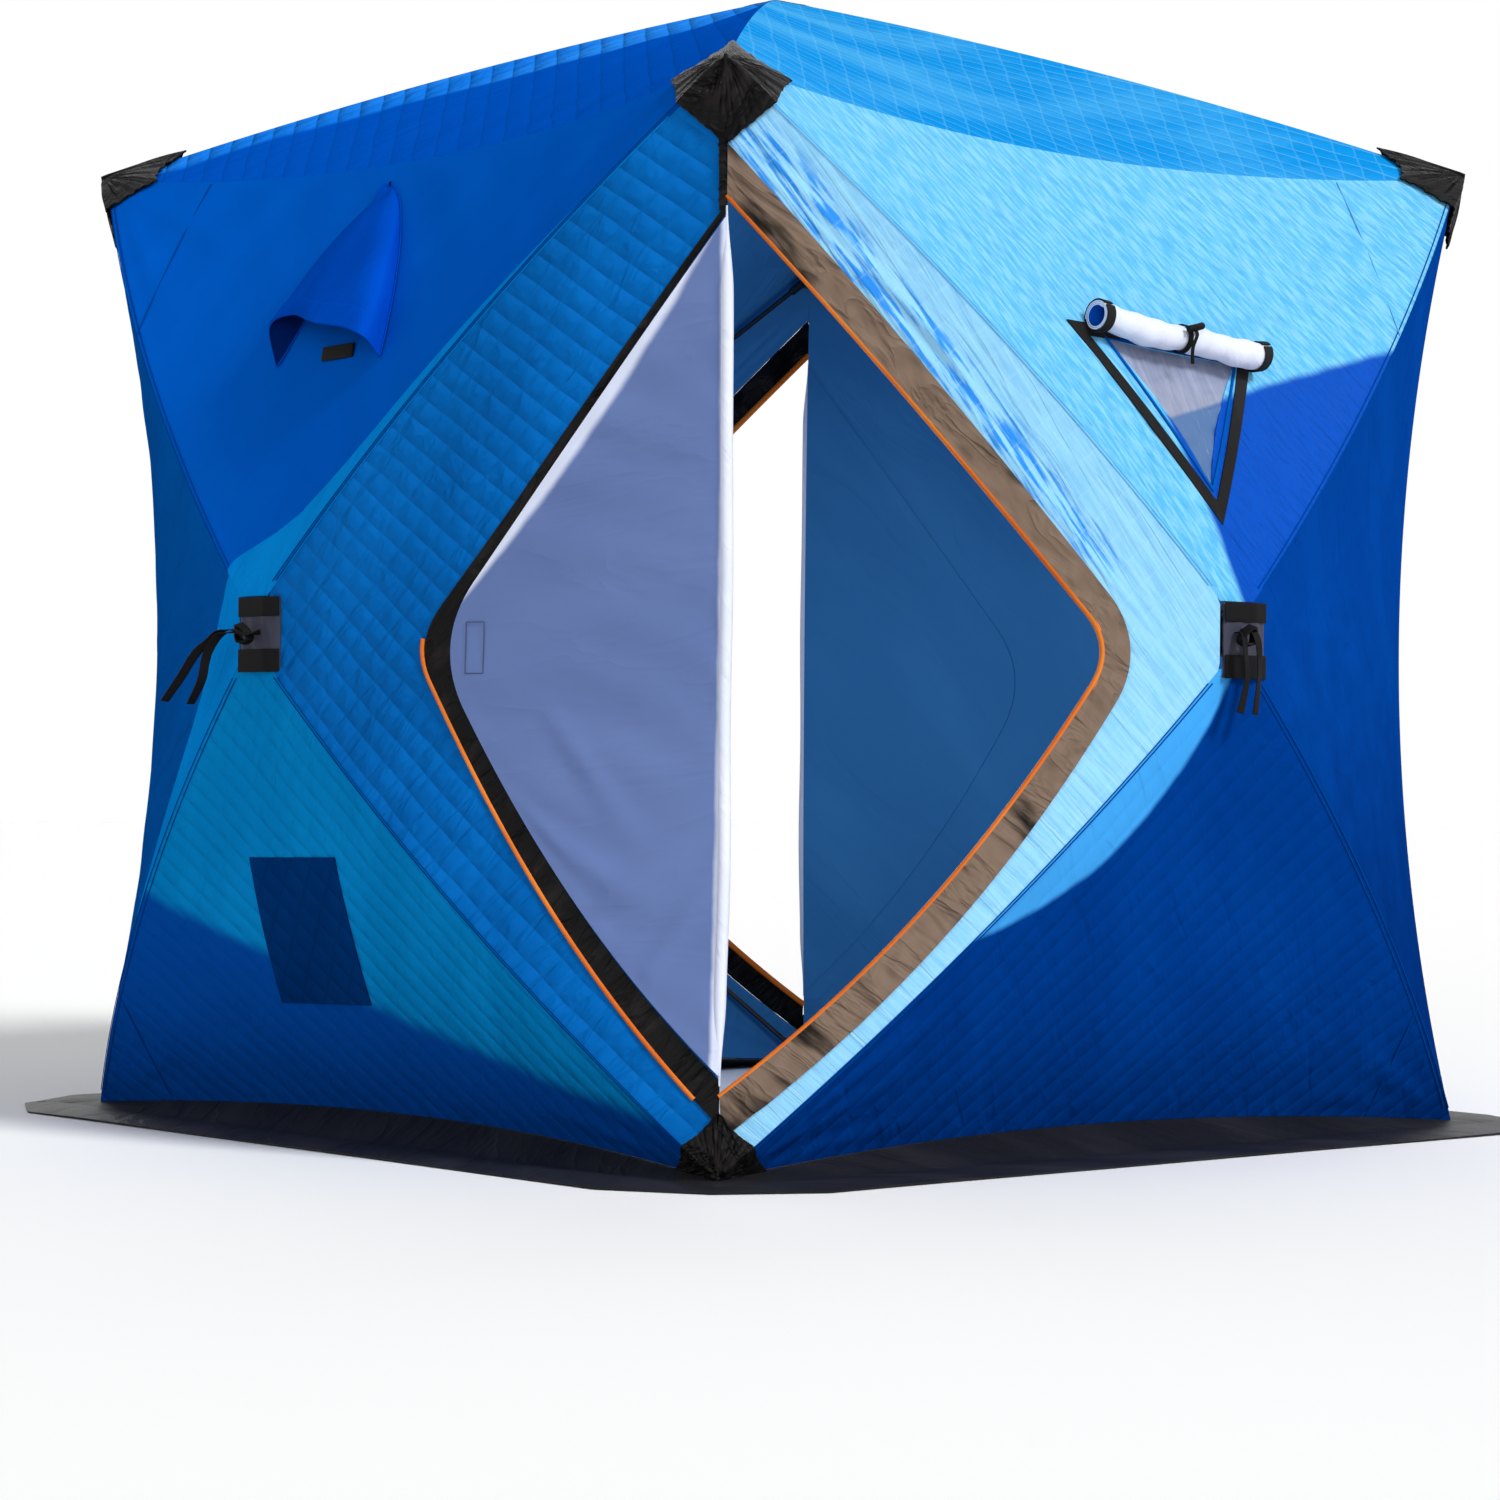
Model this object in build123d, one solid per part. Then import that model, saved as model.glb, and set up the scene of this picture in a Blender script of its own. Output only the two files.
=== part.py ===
from build123d import *
from dataclasses import dataclass
import os

# Tensioned walls, in millimetres
wall_length = 1750.0
corner_height = 1710.0
hem_height = 8.0
hub_height = 855.0
hub_reach = 260.0
wall_rod_bow = 45.0
corner_pull = 70.0
top_seam_drop = 50.0
top_seam_pull = 60.0
hem_rise = 35.0
hem_pull = 60.0
fabric_thickness = 5.0
sewn_gap = 0.3
# Each sector of cloth is laid out in flat facets; an even number across keeps it symmetric
facets_across = 6
facets_outward = 5

# Roof
roof_peak_height = 2030.0
roof_rod_bow = 20.0

# Reinforcing patches over the hubs
wall_patch_width = 80.0
wall_patch_height = 110.0
roof_patch_size = 80.0
patch_stand_out = 3.0

# Flexible rods, hubs and corner sockets
rod_radius = 5.5
rod_clearance = 4.3
rod_sides = 8
rod_bends = 5
body_sides = 12
hub_radius = 34.0
hub_depth = 34.0
hub_arm_radius = 9.5
hub_arm_length = 62.0
socket_radius = 19.0
socket_height = 38.0
socket_inset = 34.0
socket_foot_height = 22.0
socket_arm_radius = 9.0
socket_arm_length = 48.0

# Corner doors: reach is measured along the wall from the corner
closed_reach = 510.0
closed_apex = 1530.0
closed_foot = 135.0
open_reach = 640.0
open_apex = 1540.0
open_foot = 120.0
door_tip_height = 830.0
door_lower_bulge = 35.0
door_lower_bends = 4
door_tip_radius = 90.0
closed_band_apex_width = 18.0
closed_band_tip_width = 42.0
closed_band_foot_width = 65.0
open_band_width = 40.0
piping_width = 8.0
piping_stand_out = 4.0
fold_inset = 12.0

# Corner caps
cap_thickness = 3.0
top_cap_run = 133.0
top_cap_drop = 150.0
foot_cap_run = 115.0
foot_cap_rise = 108.0
cap_edge_bulge = 14.0

# Window in each of the two walls beside a door's open half
window_half_width = 146.0
window_top = 1312.0
window_bottom = 1092.0
window_corner_cut = 9.0
pane_thickness = 2.0
border_half_width = 222.0
border_top = 1355.0
border_bottom = 1030.0
border_width = 17.0
border_thickness = 2.0
roll_radius = 24.0
roll_length = 390.0
roll_height = 1338.0

# Hooded vent in each of the two walls beside a door's closed half
vent_half_width = 105.0
vent_bottom = 1350.0
vent_top = 1540.0
vent_corner_cut = 11.0
hood_half_width = 182.0
hood_bottom = 1312.0
hood_top = 1618.0
hood_crown_half_width = 18.0
hood_stand_out = 85.0
hood_thickness = 3.0
hood_hem_width = 16.0
hood_facets = 4

# Pull strap at each wall hub
strap_width = 22.0
strap_thickness = 2.5
strap_stand_out = 34.0
strap_drop = 135.0
strap_tail_gap = 8.0

# Snow skirt on the ice
skirt_thickness = 3.0
skirt_bend_reach = 40.0
skirt_reach = 190.0
skirt_tip_reach = 100.0
skirt_corner_run = 60.0

half_wall = wall_length / 2
wall_out = Vector(0, -1, 0)
roof_out = Vector(0, 0, 1)
flat_seam = Vector(0, 0, 0)
# Prisms that cut a wall start on the shelter's middle plane and pass through its front
prism_depth = half_wall + hub_reach + 200.0
corner_overrun = 90.0


@dataclass(frozen=True)
class Station:
    """One control point of a fabric panel, and the way in which its thickness grows."""

    point: Vector
    out: Vector

    def at(self, depth: float) -> Vector:
        return self.point + self.out * depth


def wall_point(along: float, outward: float, height: float) -> Vector:
    """A point of the front wall: along it, out from the line of its corners, and up."""
    return Vector(along, -half_wall - outward, height)


def wall_hub_corner(side: int, level: int) -> Station:
    along = side * wall_patch_width / 2
    height = hub_height + level * wall_patch_height / 2
    return Station(wall_point(along, hub_reach, height), wall_out)


def top_corner(side: int) -> Station:
    return Station(wall_point(side * half_wall, 0, corner_height), Vector(side, -1, 1))


def bottom_corner(side: int) -> Station:
    return Station(wall_point(side * half_wall, 0, hem_height), Vector(side, -1, 0))


def roof_hub_corner(side: int) -> Station:
    edge = roof_patch_size / 2
    return Station(Vector(side * edge, -edge, roof_peak_height), roof_out)


def middle_station(start: Station, end: Station, crown: Vector, out: Vector) -> Station:
    """The middle control point of a parabola whose crown stands off its chord."""
    return Station((start.point + end.point) / 2 + crown * 2, out)


def panel_net(inner: list, outer: list, bow: float, crown: Vector, seam_out: Vector) -> list:
    """Nine stations of one sector, from its short hub edge out to its far seam."""
    normal = inner[0].out
    hub_middle = middle_station(*inner, flat_seam, normal)
    first_rod = middle_station(inner[0], outer[0], normal * bow, normal)
    last_rod = middle_station(inner[1], outer[1], normal * bow, normal)
    seam = middle_station(*outer, crown, seam_out)
    edges = (hub_middle.point + seam.point + first_rod.point + last_rod.point) / 2
    corners = (inner[0].point + inner[1].point + outer[0].point + outer[1].point) / 4
    centre = Station(edges - corners, normal)
    return [
        [inner[0], hub_middle, inner[1]],
        [first_rod, centre, last_rod],
        [outer[0], seam, outer[1]],
    ]


def top_net() -> list:
    inner = [wall_hub_corner(-1, 1), wall_hub_corner(1, 1)]
    outer = [top_corner(-1), top_corner(1)]
    crown = Vector(0, top_seam_pull, -top_seam_drop)
    return panel_net(inner, outer, wall_rod_bow, crown, wall_out + roof_out)


def bottom_net() -> list:
    inner = [wall_hub_corner(1, -1), wall_hub_corner(-1, -1)]
    outer = [bottom_corner(1), bottom_corner(-1)]
    crown = Vector(0, hem_pull, hem_rise)
    return panel_net(inner, outer, wall_rod_bow, crown, wall_out)


def side_net(side: int) -> list:
    """The sector between a wall's hub and its right (1) or left (-1) corner edge."""
    inner = [wall_hub_corner(side, side), wall_hub_corner(side, -side)]
    ends = [top_corner(side), bottom_corner(side)]
    crown = Vector(-side * corner_pull, corner_pull, 0)
    return panel_net(inner, ends[::side], wall_rod_bow, crown, wall_out + Vector(side, 0, 0))


def roof_net() -> list:
    inner = [roof_hub_corner(1), roof_hub_corner(-1)]
    outer = [top_corner(1), top_corner(-1)]
    crown = Vector(0, top_seam_pull, -top_seam_drop)
    return panel_net(inner, outer, roof_rod_bow, crown, wall_out + roof_out)


def bernstein(share: float) -> list:
    return [(1 - share) ** 2, 2 * share * (1 - share), share**2]


def surface_point(net: list, across: float, outward: float, depth: float = 0.0) -> Vector:
    """A point of a sector: across from its first rod, outward from its hub, above its skin."""
    total = Vector(0, 0, 0)
    for row, row_weight in zip(net, bernstein(outward)):
        for station, weight in zip(row, bernstein(across)):
            total += station.at(depth) * (row_weight * weight)
    return total


def grid(net: list, depth: float, across: int = facets_across, outward: int = facets_outward) -> list:
    """Rows of evenly shared points over a sector, from its hub edge to its far seam."""
    return [
        [surface_point(net, column / across, row / outward, depth) for column in range(across + 1)]
        for row in range(outward + 1)
    ]


def facets(rows: list) -> list:
    """Two triangles for each cell between rows of points, mirrored about the middle column."""
    triangles = []
    for near, far in zip(rows, rows[1:]):
        cells = len(near) - 1
        for column in range(cells):
            a, b = near[column : column + 2]
            d, c = far[column : column + 2]
            if 2 * column < cells:
                triangles += [(a, b, c), (a, c, d)]
            else:
                triangles += [(a, b, d), (b, c, d)]
    return triangles


def sheet(outer: list, inner: list) -> Solid:
    """The solid between two grids of points, closed round its four edges."""
    outer_edges = [outer[0], outer[-1], [row[0] for row in outer], [row[-1] for row in outer]]
    inner_edges = [inner[0], inner[-1], [row[0] for row in inner], [row[-1] for row in inner]]
    triangles = facets(outer) + facets(inner)
    for outer_edge, inner_edge in zip(outer_edges, inner_edges):
        triangles += facets([outer_edge, inner_edge])
    return Solid(Shell([Face(Wire.make_polygon(triangle)) for triangle in triangles]))


def layer(net: list, inner: float, outer: float) -> Solid:
    """The cloth between two depths of a sector."""
    return sheet(grid(net, outer), grid(net, inner))


def fabric(net: list) -> Solid:
    return layer(net, -fabric_thickness, 0)


def point_on_wall(net: list, along: float, height: float) -> Vector:
    """The point of a front sector's outer skin at this place along and up the wall."""
    for a, b, c in facets(grid(net, 0)):
        across = b - a
        onward = c - a
        scale = across.X * onward.Z - onward.X * across.Z
        by_across = ((along - a.X) * onward.Z - (height - a.Z) * onward.X) / scale
        by_onward = ((height - a.Z) * across.X - (along - a.X) * across.Z) / scale
        if min(by_across, by_onward, 1 - by_across - by_onward) >= 0:
            return a + across * by_across + onward * by_onward
    raise ValueError("the place is outside this sector")


def wall_prism(outline: Sketch) -> Part:
    """Carry an outline, drawn along and up the front wall, right through that wall."""
    return extrude(Plane.XZ * outline, amount=prism_depth)


def one(shape) -> Solid:
    """The largest solid of a cut, without the crumbs that a cut can leave."""
    return max(shape.solids(), key=lambda solid: solid.volume)


def mirrored(solid: Solid) -> Solid:
    """The same piece at the other end of its wall."""
    return solid.mirror(Plane.YZ)


def turned(solid: Solid, quarter_turns: int) -> Solid:
    return solid.rotate(Axis.Z, 90 * quarter_turns)


@dataclass(frozen=True)
class DoorSide:
    """The half diamond that a door's outline draws on one wall, beside its corner."""

    reach: float
    apex: float
    foot: float

    def outline(self) -> Sketch:
        apex = Vector(half_wall, self.apex)
        foot = Vector(half_wall, self.foot)
        tip = Vector(half_wall - self.reach, door_tip_height)
        lower = foot - tip
        outward = Vector(lower.Y, -lower.X).normalized()
        belly = ThreePointArc(tip, (tip + foot) / 2 + outward * door_lower_bulge, foot)
        lower_edge = [belly @ (bend / door_lower_bends) for bend in range(door_lower_bends + 1)]
        beyond = Vector(corner_overrun, 0)
        face = make_face(Polyline(foot + beyond, apex + beyond, apex, *lower_edge, close=True))
        return fillet(face.vertices().sort_by(Axis.X)[:1], door_tip_radius)


closed_side = DoorSide(closed_reach, closed_apex, closed_foot)
closed_side_band = DoorSide(
    closed_reach + closed_band_tip_width,
    closed_apex + closed_band_apex_width,
    closed_foot - closed_band_foot_width,
)
open_side = DoorSide(open_reach, open_apex, open_foot)


def closed_piping_zone() -> Part:
    """The ring, below the door's tip, in which the closed side's piping lies."""
    outer = closed_side_band.outline()
    ring = outer - offset(outer, -piping_width, kind=Kind.INTERSECTION)
    low = foot_cap_rise + cap_edge_bulge
    height = door_tip_height - low
    window = Pos(half_wall, low + height / 2) * Rectangle(2 * wall_length, height)
    return wall_prism(ring & window)


def open_piping_zone() -> Part:
    inner = open_side.outline()
    ring = offset(inner, piping_width, kind=Kind.INTERSECTION) - inner
    low = foot_cap_rise + cap_edge_bulge
    height = corner_height - top_cap_drop - cap_edge_bulge - low
    window = Pos(half_wall, low + height / 2) * Rectangle(2 * wall_length, height)
    return wall_prism(ring & window)


def closed_door_pieces() -> dict:
    """A door's side panel, bands and panels on the wall where it stays zipped up."""
    net = side_net(1)
    whole = fabric(net)
    inner = wall_prism(closed_side.outline())
    outer = wall_prism(closed_side_band.outline())
    zone = closed_piping_zone()
    folded = wall_prism(offset(closed_side.outline(), -fold_inset, kind=Kind.INTERSECTION))
    turned_back = layer(net, sewn_gap, sewn_gap + fabric_thickness)
    piping = layer(net, -fabric_thickness, piping_stand_out) & zone
    return {
        "side_panel": one(whole - outer),
        "band": one((whole & (outer - inner)) - zone),
        "closed_half": one(whole & inner),
        "folded_half": one(turned_back & folded),
        "piping": one(piping),
    }


def open_door_pieces() -> dict:
    """The side panel, storm flap and piping on the wall where the door hangs open."""
    net = side_net(1)
    whole = fabric(net)
    inner = wall_prism(open_side.outline())
    outer = wall_prism(offset(open_side.outline(), open_band_width + piping_width, kind=Kind.INTERSECTION))
    zone = open_piping_zone()
    piping = layer(net, -fabric_thickness, piping_stand_out) & zone
    pieces = {
        "side_panel": one(whole - outer),
        "band": one((whole & (outer - inner)) - zone),
        "piping": one(piping),
    }
    return {name: mirrored(piece) for name, piece in pieces.items()}


def triangle(half_width: float, base: float, point: float) -> Sketch:
    """A triangle drawn on the wall, with its level base and its point on the wall's middle line."""
    return make_face(Polyline((-half_width, base), (half_width, base), (0, point), close=True))


def clipped(outline: Sketch, cut: float) -> Sketch:
    return chamfer(outline.vertices(), cut)


def window_pieces() -> dict:
    net = top_net()
    window = triangle(window_half_width, window_top, window_bottom)
    opening = wall_prism(clipped(window, window_corner_cut))
    pane_middle = -fabric_thickness / 2
    pane = layer(net, pane_middle - pane_thickness / 2, pane_middle + pane_thickness / 2) & opening
    border_outline = triangle(border_half_width, border_top, border_bottom)
    ring = border_outline - offset(border_outline, -border_width, kind=Kind.INTERSECTION)
    border = layer(net, sewn_gap, sewn_gap + border_thickness) & wall_prism(ring)
    return {
        "panel": one(fabric(net) - opening),
        "pane": one(pane),
        "border": one(border),
        "roll": window_roll(net),
    }


def window_roll(net: list) -> Solid:
    """The window's flap, rolled up and tied across the top of its border."""
    left = point_on_wall(net, -roll_length / 2, roll_height)
    right = point_on_wall(net, roll_length / 2, roll_height)
    above = point_on_wall(net, -roll_length / 2, roll_height + roll_radius)
    upward = (above - left).normalized()
    outward = (right - left).cross(upward).normalized()
    lift = outward * (2 * sewn_gap + border_thickness + roll_radius)
    base = Plane(left + lift, z_dir=right - left)
    return extrude(base * Circle(roll_radius), amount=roll_length).solid()


def vent_pieces() -> dict:
    net = top_net()
    hole = wall_prism(clipped(triangle(vent_half_width, vent_bottom, vent_top), vent_corner_cut))
    screen_middle = -fabric_thickness / 2
    screen = layer(net, screen_middle - pane_thickness / 2, screen_middle + pane_thickness / 2) & hole
    return {
        "panel": one(fabric(net) - hole),
        "screen": one(screen),
        "hood": vent_hood(net),
    }


def vent_hood(net: list) -> Solid:
    """A stiffened flap, hemmed to the wall down both sides and standing open along its lower edge."""
    hem_middle = wall_out * (sewn_gap + hood_thickness / 2)
    shoulder = hood_half_width - hood_hem_width / 2
    crown = hood_crown_half_width - hood_hem_width / 2
    top = [point_on_wall(net, side * crown, hood_top) + hem_middle for side in (-1, 1)]
    bottom = [point_on_wall(net, side * shoulder, hood_bottom) + hem_middle for side in (-1, 1)]
    middle_height = (hood_top + hood_bottom) / 2
    middle_width = (crown + shoulder) / 2
    sides = [point_on_wall(net, side * middle_width, middle_height) + hem_middle for side in (-1, 1)]
    side_controls = [place * 2 - (a + b) / 2 for place, a, b in zip(sides, top, bottom)]
    mouth = point_on_wall(net, 0, hood_bottom) + wall_out * hood_stand_out
    mouth_control = mouth * 2 - (bottom[0] + bottom[1]) / 2
    ridge_control = (side_controls[0] + side_controls[1]) / 2 + wall_out * (hood_stand_out / 2)
    crown_control = (top[0] + top[1]) / 2
    points = [
        [bottom[0], mouth_control, bottom[1]],
        [side_controls[0], ridge_control, side_controls[1]],
        [top[0], crown_control, top[1]],
    ]
    hood_net = [[Station(point, wall_out) for point in row] for row in points]
    outer, inner = [grid(hood_net, depth, hood_facets, hood_facets) for depth in (hood_thickness, 0)]
    shell = sheet(outer, inner) - layer(net, -hood_stand_out, sewn_gap)
    return joined([one(shell), *hood_hems(net)])


def hood_hems(net: list) -> list:
    """The two sewn edges of a hood, each a strip that follows the wall."""
    hems = []
    for side in (-1, 1):
        corners = [
            (side * hood_half_width, hood_bottom),
            (side * hood_crown_half_width, hood_top),
            (side * (hood_crown_half_width - hood_hem_width), hood_top),
            (side * (hood_half_width - hood_hem_width), hood_bottom),
        ]
        strip = make_face(Polyline(*corners, close=True))
        hems.append(one(layer(net, sewn_gap, sewn_gap + hood_thickness) & wall_prism(strip)))
    return hems


def cap_corner_sketch(run: float, edge: float, tip: float, beyond: float) -> Sketch:
    """A corner's outline on its wall: a run along the seam and a leg along the corner edge."""
    start = Vector(half_wall - run, edge)
    end = Vector(half_wall, tip)
    chord = end - start
    belly = (start + end) / 2 + Vector(1, chord.X / -chord.Y).normalized() * cap_edge_bulge
    corner_side = Vector(corner_overrun, 0)
    cut_edge = ThreePointArc(start, belly, end)
    frame_edge = Polyline(
        end,
        end + corner_side,
        Vector(half_wall + corner_overrun, beyond),
        Vector(half_wall - run, beyond),
        start,
    )
    return make_face(cut_edge + frame_edge)


def cap_layers(nets: list, zone: Part) -> list:
    return [one(layer(net, sewn_gap, sewn_gap + cap_thickness) & zone) for net in nets]


def joined(solids: list) -> Solid:
    first, *others = solids
    return one(first.fuse(*others))


def round_corner(faces: list) -> list:
    """Faces on the front wall, or its roof sector, with their twins round the right corner."""
    return faces + [turned(mirrored(face), 1) for face in faces]


def top_cap() -> Solid:
    """The pocket over the corner at the right of the front wall: two wall faces and two roof faces."""
    top_edge = corner_height - 2 * sewn_gap
    lowest = corner_height - top_cap_drop
    sketch = cap_corner_sketch(top_cap_run, top_edge, lowest, corner_height + corner_overrun)
    wall_faces = cap_layers([top_net(), side_net(1)], wall_prism(sketch))
    near = half_wall - top_cap_run
    beyond = half_wall + corner_overrun
    corner_square = Polyline((near, -beyond), (beyond, -beyond), (beyond, -near), (near, -near), close=True)
    roof_faces = cap_layers([roof_net()], extrude(make_face(corner_square), amount=2 * corner_height))
    return joined(round_corner(wall_faces) + round_corner(roof_faces))


def foot_cap() -> Solid:
    """The pocket over the foot of the door corner."""
    sketch = cap_corner_sketch(foot_cap_run, hem_height + cap_thickness, foot_cap_rise, -corner_overrun)
    wall_faces = cap_layers([bottom_net(), side_net(1)], wall_prism(sketch))
    return joined(round_corner(wall_faces))


def wall_patch() -> Solid:
    """The flat patch that fills the square between a wall's four sectors."""
    depth = fabric_thickness + patch_stand_out
    centre = wall_point(0, hub_reach + patch_stand_out - depth / 2, hub_height)
    return (Pos(*centre) * Box(wall_patch_width, depth, wall_patch_height)).solid()


def roof_patch() -> Solid:
    depth = fabric_thickness + patch_stand_out
    centre = Vector(0, 0, roof_peak_height + patch_stand_out - depth / 2)
    return (Pos(*centre) * Box(roof_patch_size, roof_patch_size, depth)).solid()


def pull_strap() -> Solid:
    """Webbing that leaves the patch in a short loop and hangs in two tails."""
    face = wall_point(0, hub_reach + patch_stand_out, hub_height)
    root = Vector(face.Y, hub_height)
    bend = Vector(face.Y - strap_stand_out, hub_height)
    end = Vector(face.Y - strap_stand_out, hub_height - strap_drop)
    centre_line = FilletPolyline(root, bend, end, radius=strap_stand_out / 2)
    strip = trace(centre_line, strap_thickness)
    width = 2 * strap_width + strap_tail_gap
    whole = extrude(Plane.YZ * strip, amount=width / 2, both=True)
    slot_height = strap_drop - strap_stand_out
    slot_centre = Vector(0, face.Y - strap_stand_out, hub_height - strap_drop + slot_height / 2)
    slot = Pos(*slot_centre) * Box(strap_tail_gap, 2 * strap_stand_out, slot_height)
    behind_patch = Pos(0, face.Y + prism_depth / 2, hub_height) * Box(prism_depth, prism_depth, prism_depth)
    return one(whole - slot - behind_patch)


def wall_hub_centre() -> Vector:
    return wall_point(0, hub_reach - fabric_thickness - hub_depth / 2, hub_height)


def roof_hub_centre() -> Vector:
    return Vector(0, 0, roof_peak_height - fabric_thickness - hub_depth / 2)


def socket_centre(level: int) -> Vector:
    """The middle of the socket at the right corner of the front wall, top or bottom."""
    height = corner_height - socket_inset if level > 0 else socket_foot_height
    return wall_point(half_wall - socket_inset, -socket_inset, height)


def rod_middle(net: list, normal: Vector) -> Vector:
    """The middle of a rod that nestles behind the last seam of a sector."""
    ridge = surface_point(net, 1, 0.5)
    return ridge - normal * (fabric_thickness + rod_clearance + rod_radius)


def wall_rod_route(level: int) -> Edge:
    net = top_net() if level > 0 else side_net(1)
    return ThreePointArc(wall_hub_centre(), rod_middle(net, wall_out), socket_centre(level))


def roof_rod_route() -> Edge:
    ridge = surface_point(roof_net(), 0, 0.5)
    middle = ridge - roof_out * (fabric_thickness + rod_clearance + rod_radius)
    return ThreePointArc(roof_hub_centre(), middle, socket_centre(1))


def rod_points(route: Edge) -> list:
    """Where a rod bends, from the end of its hub's arm to the end of its socket's arm."""
    start = hub_arm_length / route.length
    end = 1 - socket_arm_length / route.length
    return [route @ (start + (end - start) * bend / rod_bends) for bend in range(rod_bends + 1)]


def frame_rod(route: Edge) -> Solid:
    points = rod_points(route)
    section = Plane(points[0], z_dir=points[1] - points[0]) * RegularPolygon(rod_radius, rod_sides)
    return sweep(section, path=Polyline(*points), transition=Transition.RIGHT).solid()


def arm(rod_end: Vector, next_bend: Vector, radius: float, length: float) -> Solid:
    """The sleeve that a rod's end butts against, in line with the rod."""
    seat = Plane(rod_end, z_dir=rod_end - next_bend)
    return extrude(seat * RegularPolygon(radius, rod_sides), amount=length).solid()


def hub_arm(route: Edge) -> Solid:
    first, second, *_ = rod_points(route)
    return arm(first, second, hub_arm_radius, hub_arm_length)


def socket_arm(route: Edge) -> Solid:
    *_, second, last = rod_points(route)
    return arm(last, second, socket_arm_radius, socket_arm_length)


def body(radius: float, height: float) -> Solid:
    """A drum of flat sides that carries arms."""
    return extrude(RegularPolygon(radius, body_sides), amount=height / 2, both=True).solid()


def wall_hub() -> Solid:
    """A hub behind a wall's patch, with an arm towards each corner."""
    drum = Pos(*wall_hub_centre()) * Rot(90, 0, 0) * body(hub_radius, hub_depth)
    right_arms = [hub_arm(wall_rod_route(level)) for level in (1, -1)]
    left_arms = [mirrored(right_arm) for right_arm in right_arms]
    return joined([drum, *right_arms, *left_arms])


def roof_hub() -> Solid:
    drum = Pos(*roof_hub_centre()) * body(hub_radius, hub_depth)
    first_arm = hub_arm(roof_rod_route())
    return joined([drum, *four_turns(first_arm)])


def corner_socket(level: int) -> Solid:
    """The socket at the right corner of the front wall, with an arm for each rod that ends there."""
    drum = Pos(*socket_centre(level)) * body(socket_radius, socket_height)
    wall_arm = socket_arm(wall_rod_route(level))
    arms = [wall_arm, turned(mirrored(wall_arm), 1)]
    if level > 0:
        arms.append(socket_arm(roof_rod_route()))
    return joined([drum, *arms])


def snow_skirt() -> Solid:
    """Cloth that lies flat on the ice and rises to the hem of the front wall."""
    bend = half_wall + skirt_bend_reach
    tip = half_wall + skirt_tip_reach
    far = half_wall + skirt_reach
    near = half_wall - skirt_corner_run
    right = [(near, -far), (tip, -tip), (bend, -bend)]
    left = [(-x, y) for x, y in reversed(right)]
    lying = extrude(make_face(Polyline(*left, *right, close=True)), amount=skirt_thickness)
    hem = grid(bottom_net(), -fabric_thickness)[-1]
    shares = [column / facets_across for column in range(facets_across + 1)]
    fold = [Vector(bend * (1 - 2 * share), -bend, skirt_thickness) for share in shares]
    lowering = Vector(0, 0, -skirt_thickness)
    rising = sheet([hem, fold], [[point + lowering for point in line] for line in (hem, fold)])
    return joined([lying.solid(), rising])


def four_turns(solid: Solid) -> list:
    return [turned(solid, turn) for turn in range(4)]


def two_turns(solid: Solid, first_turn: int = 0) -> list:
    """The piece and its twin on the opposite wall."""
    return [turned(solid, first_turn), turned(solid, first_turn + 2)]


def wall_nodes() -> dict:
    """Sewn panels of the four walls; opposite walls are alike, half a turn apart."""
    closed = closed_door_pieces()
    opened = open_door_pieces()
    window = window_pieces()
    vent = vent_pieces()
    plain_side = fabric(side_net(-1))
    bottom = fabric(bottom_net())
    kinds = {
        "closed": {
            "top_panel": vent["panel"],
            "bottom_panel": bottom,
            "plain_side_panel": plain_side,
            "door_side_panel": closed["side_panel"],
        },
        "open": {
            "top_panel": window["panel"],
            "bottom_panel": bottom,
            "plain_side_panel": mirrored(plain_side),
            "door_side_panel": opened["side_panel"],
        },
    }
    walls = {"front": (0, "closed"), "right": (1, "open"), "back": (2, "closed"), "left": (3, "open")}
    nodes = {}
    for wall, (turn, kind) in walls.items():
        for piece, solid in kinds[kind].items():
            nodes[f"{wall}_wall_{piece}"] = [turned(solid, turn)]
    for door, turn in {"front": 0, "back": 2}.items():
        nodes[f"{door}_door_closed_half"] = [turned(closed["closed_half"], turn)]
        nodes[f"{door}_door_folded_half"] = [turned(closed["folded_half"], turn)]
        nodes[f"{door}_door_zip_band"] = [turned(closed["band"], turn)]
        nodes[f"{door}_door_storm_flap"] = [turned(opened["band"], turn + 1)]
    nodes["door_piping"] = two_turns(closed["piping"]) + two_turns(opened["piping"], 1)
    nodes["window_panes"] = two_turns(window["pane"], 1)
    nodes["window_borders"] = two_turns(window["border"], 1)
    nodes["window_rolled_flaps"] = two_turns(window["roll"], 1)
    nodes["vent_screens"] = two_turns(vent["screen"])
    nodes["vent_hoods"] = two_turns(vent["hood"])
    return nodes


def roof_and_base_nodes() -> dict:
    nodes = {}
    roof = fabric(roof_net())
    skirt = snow_skirt()
    for turn, wall in enumerate(("front", "right", "back", "left")):
        nodes[f"{wall}_roof_panel"] = [turned(roof, turn)]
        nodes[f"{wall}_snow_skirt"] = [turned(skirt, turn)]
    nodes["corner_top_caps"] = four_turns(top_cap())
    nodes["door_corner_foot_caps"] = two_turns(foot_cap())
    return nodes


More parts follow.
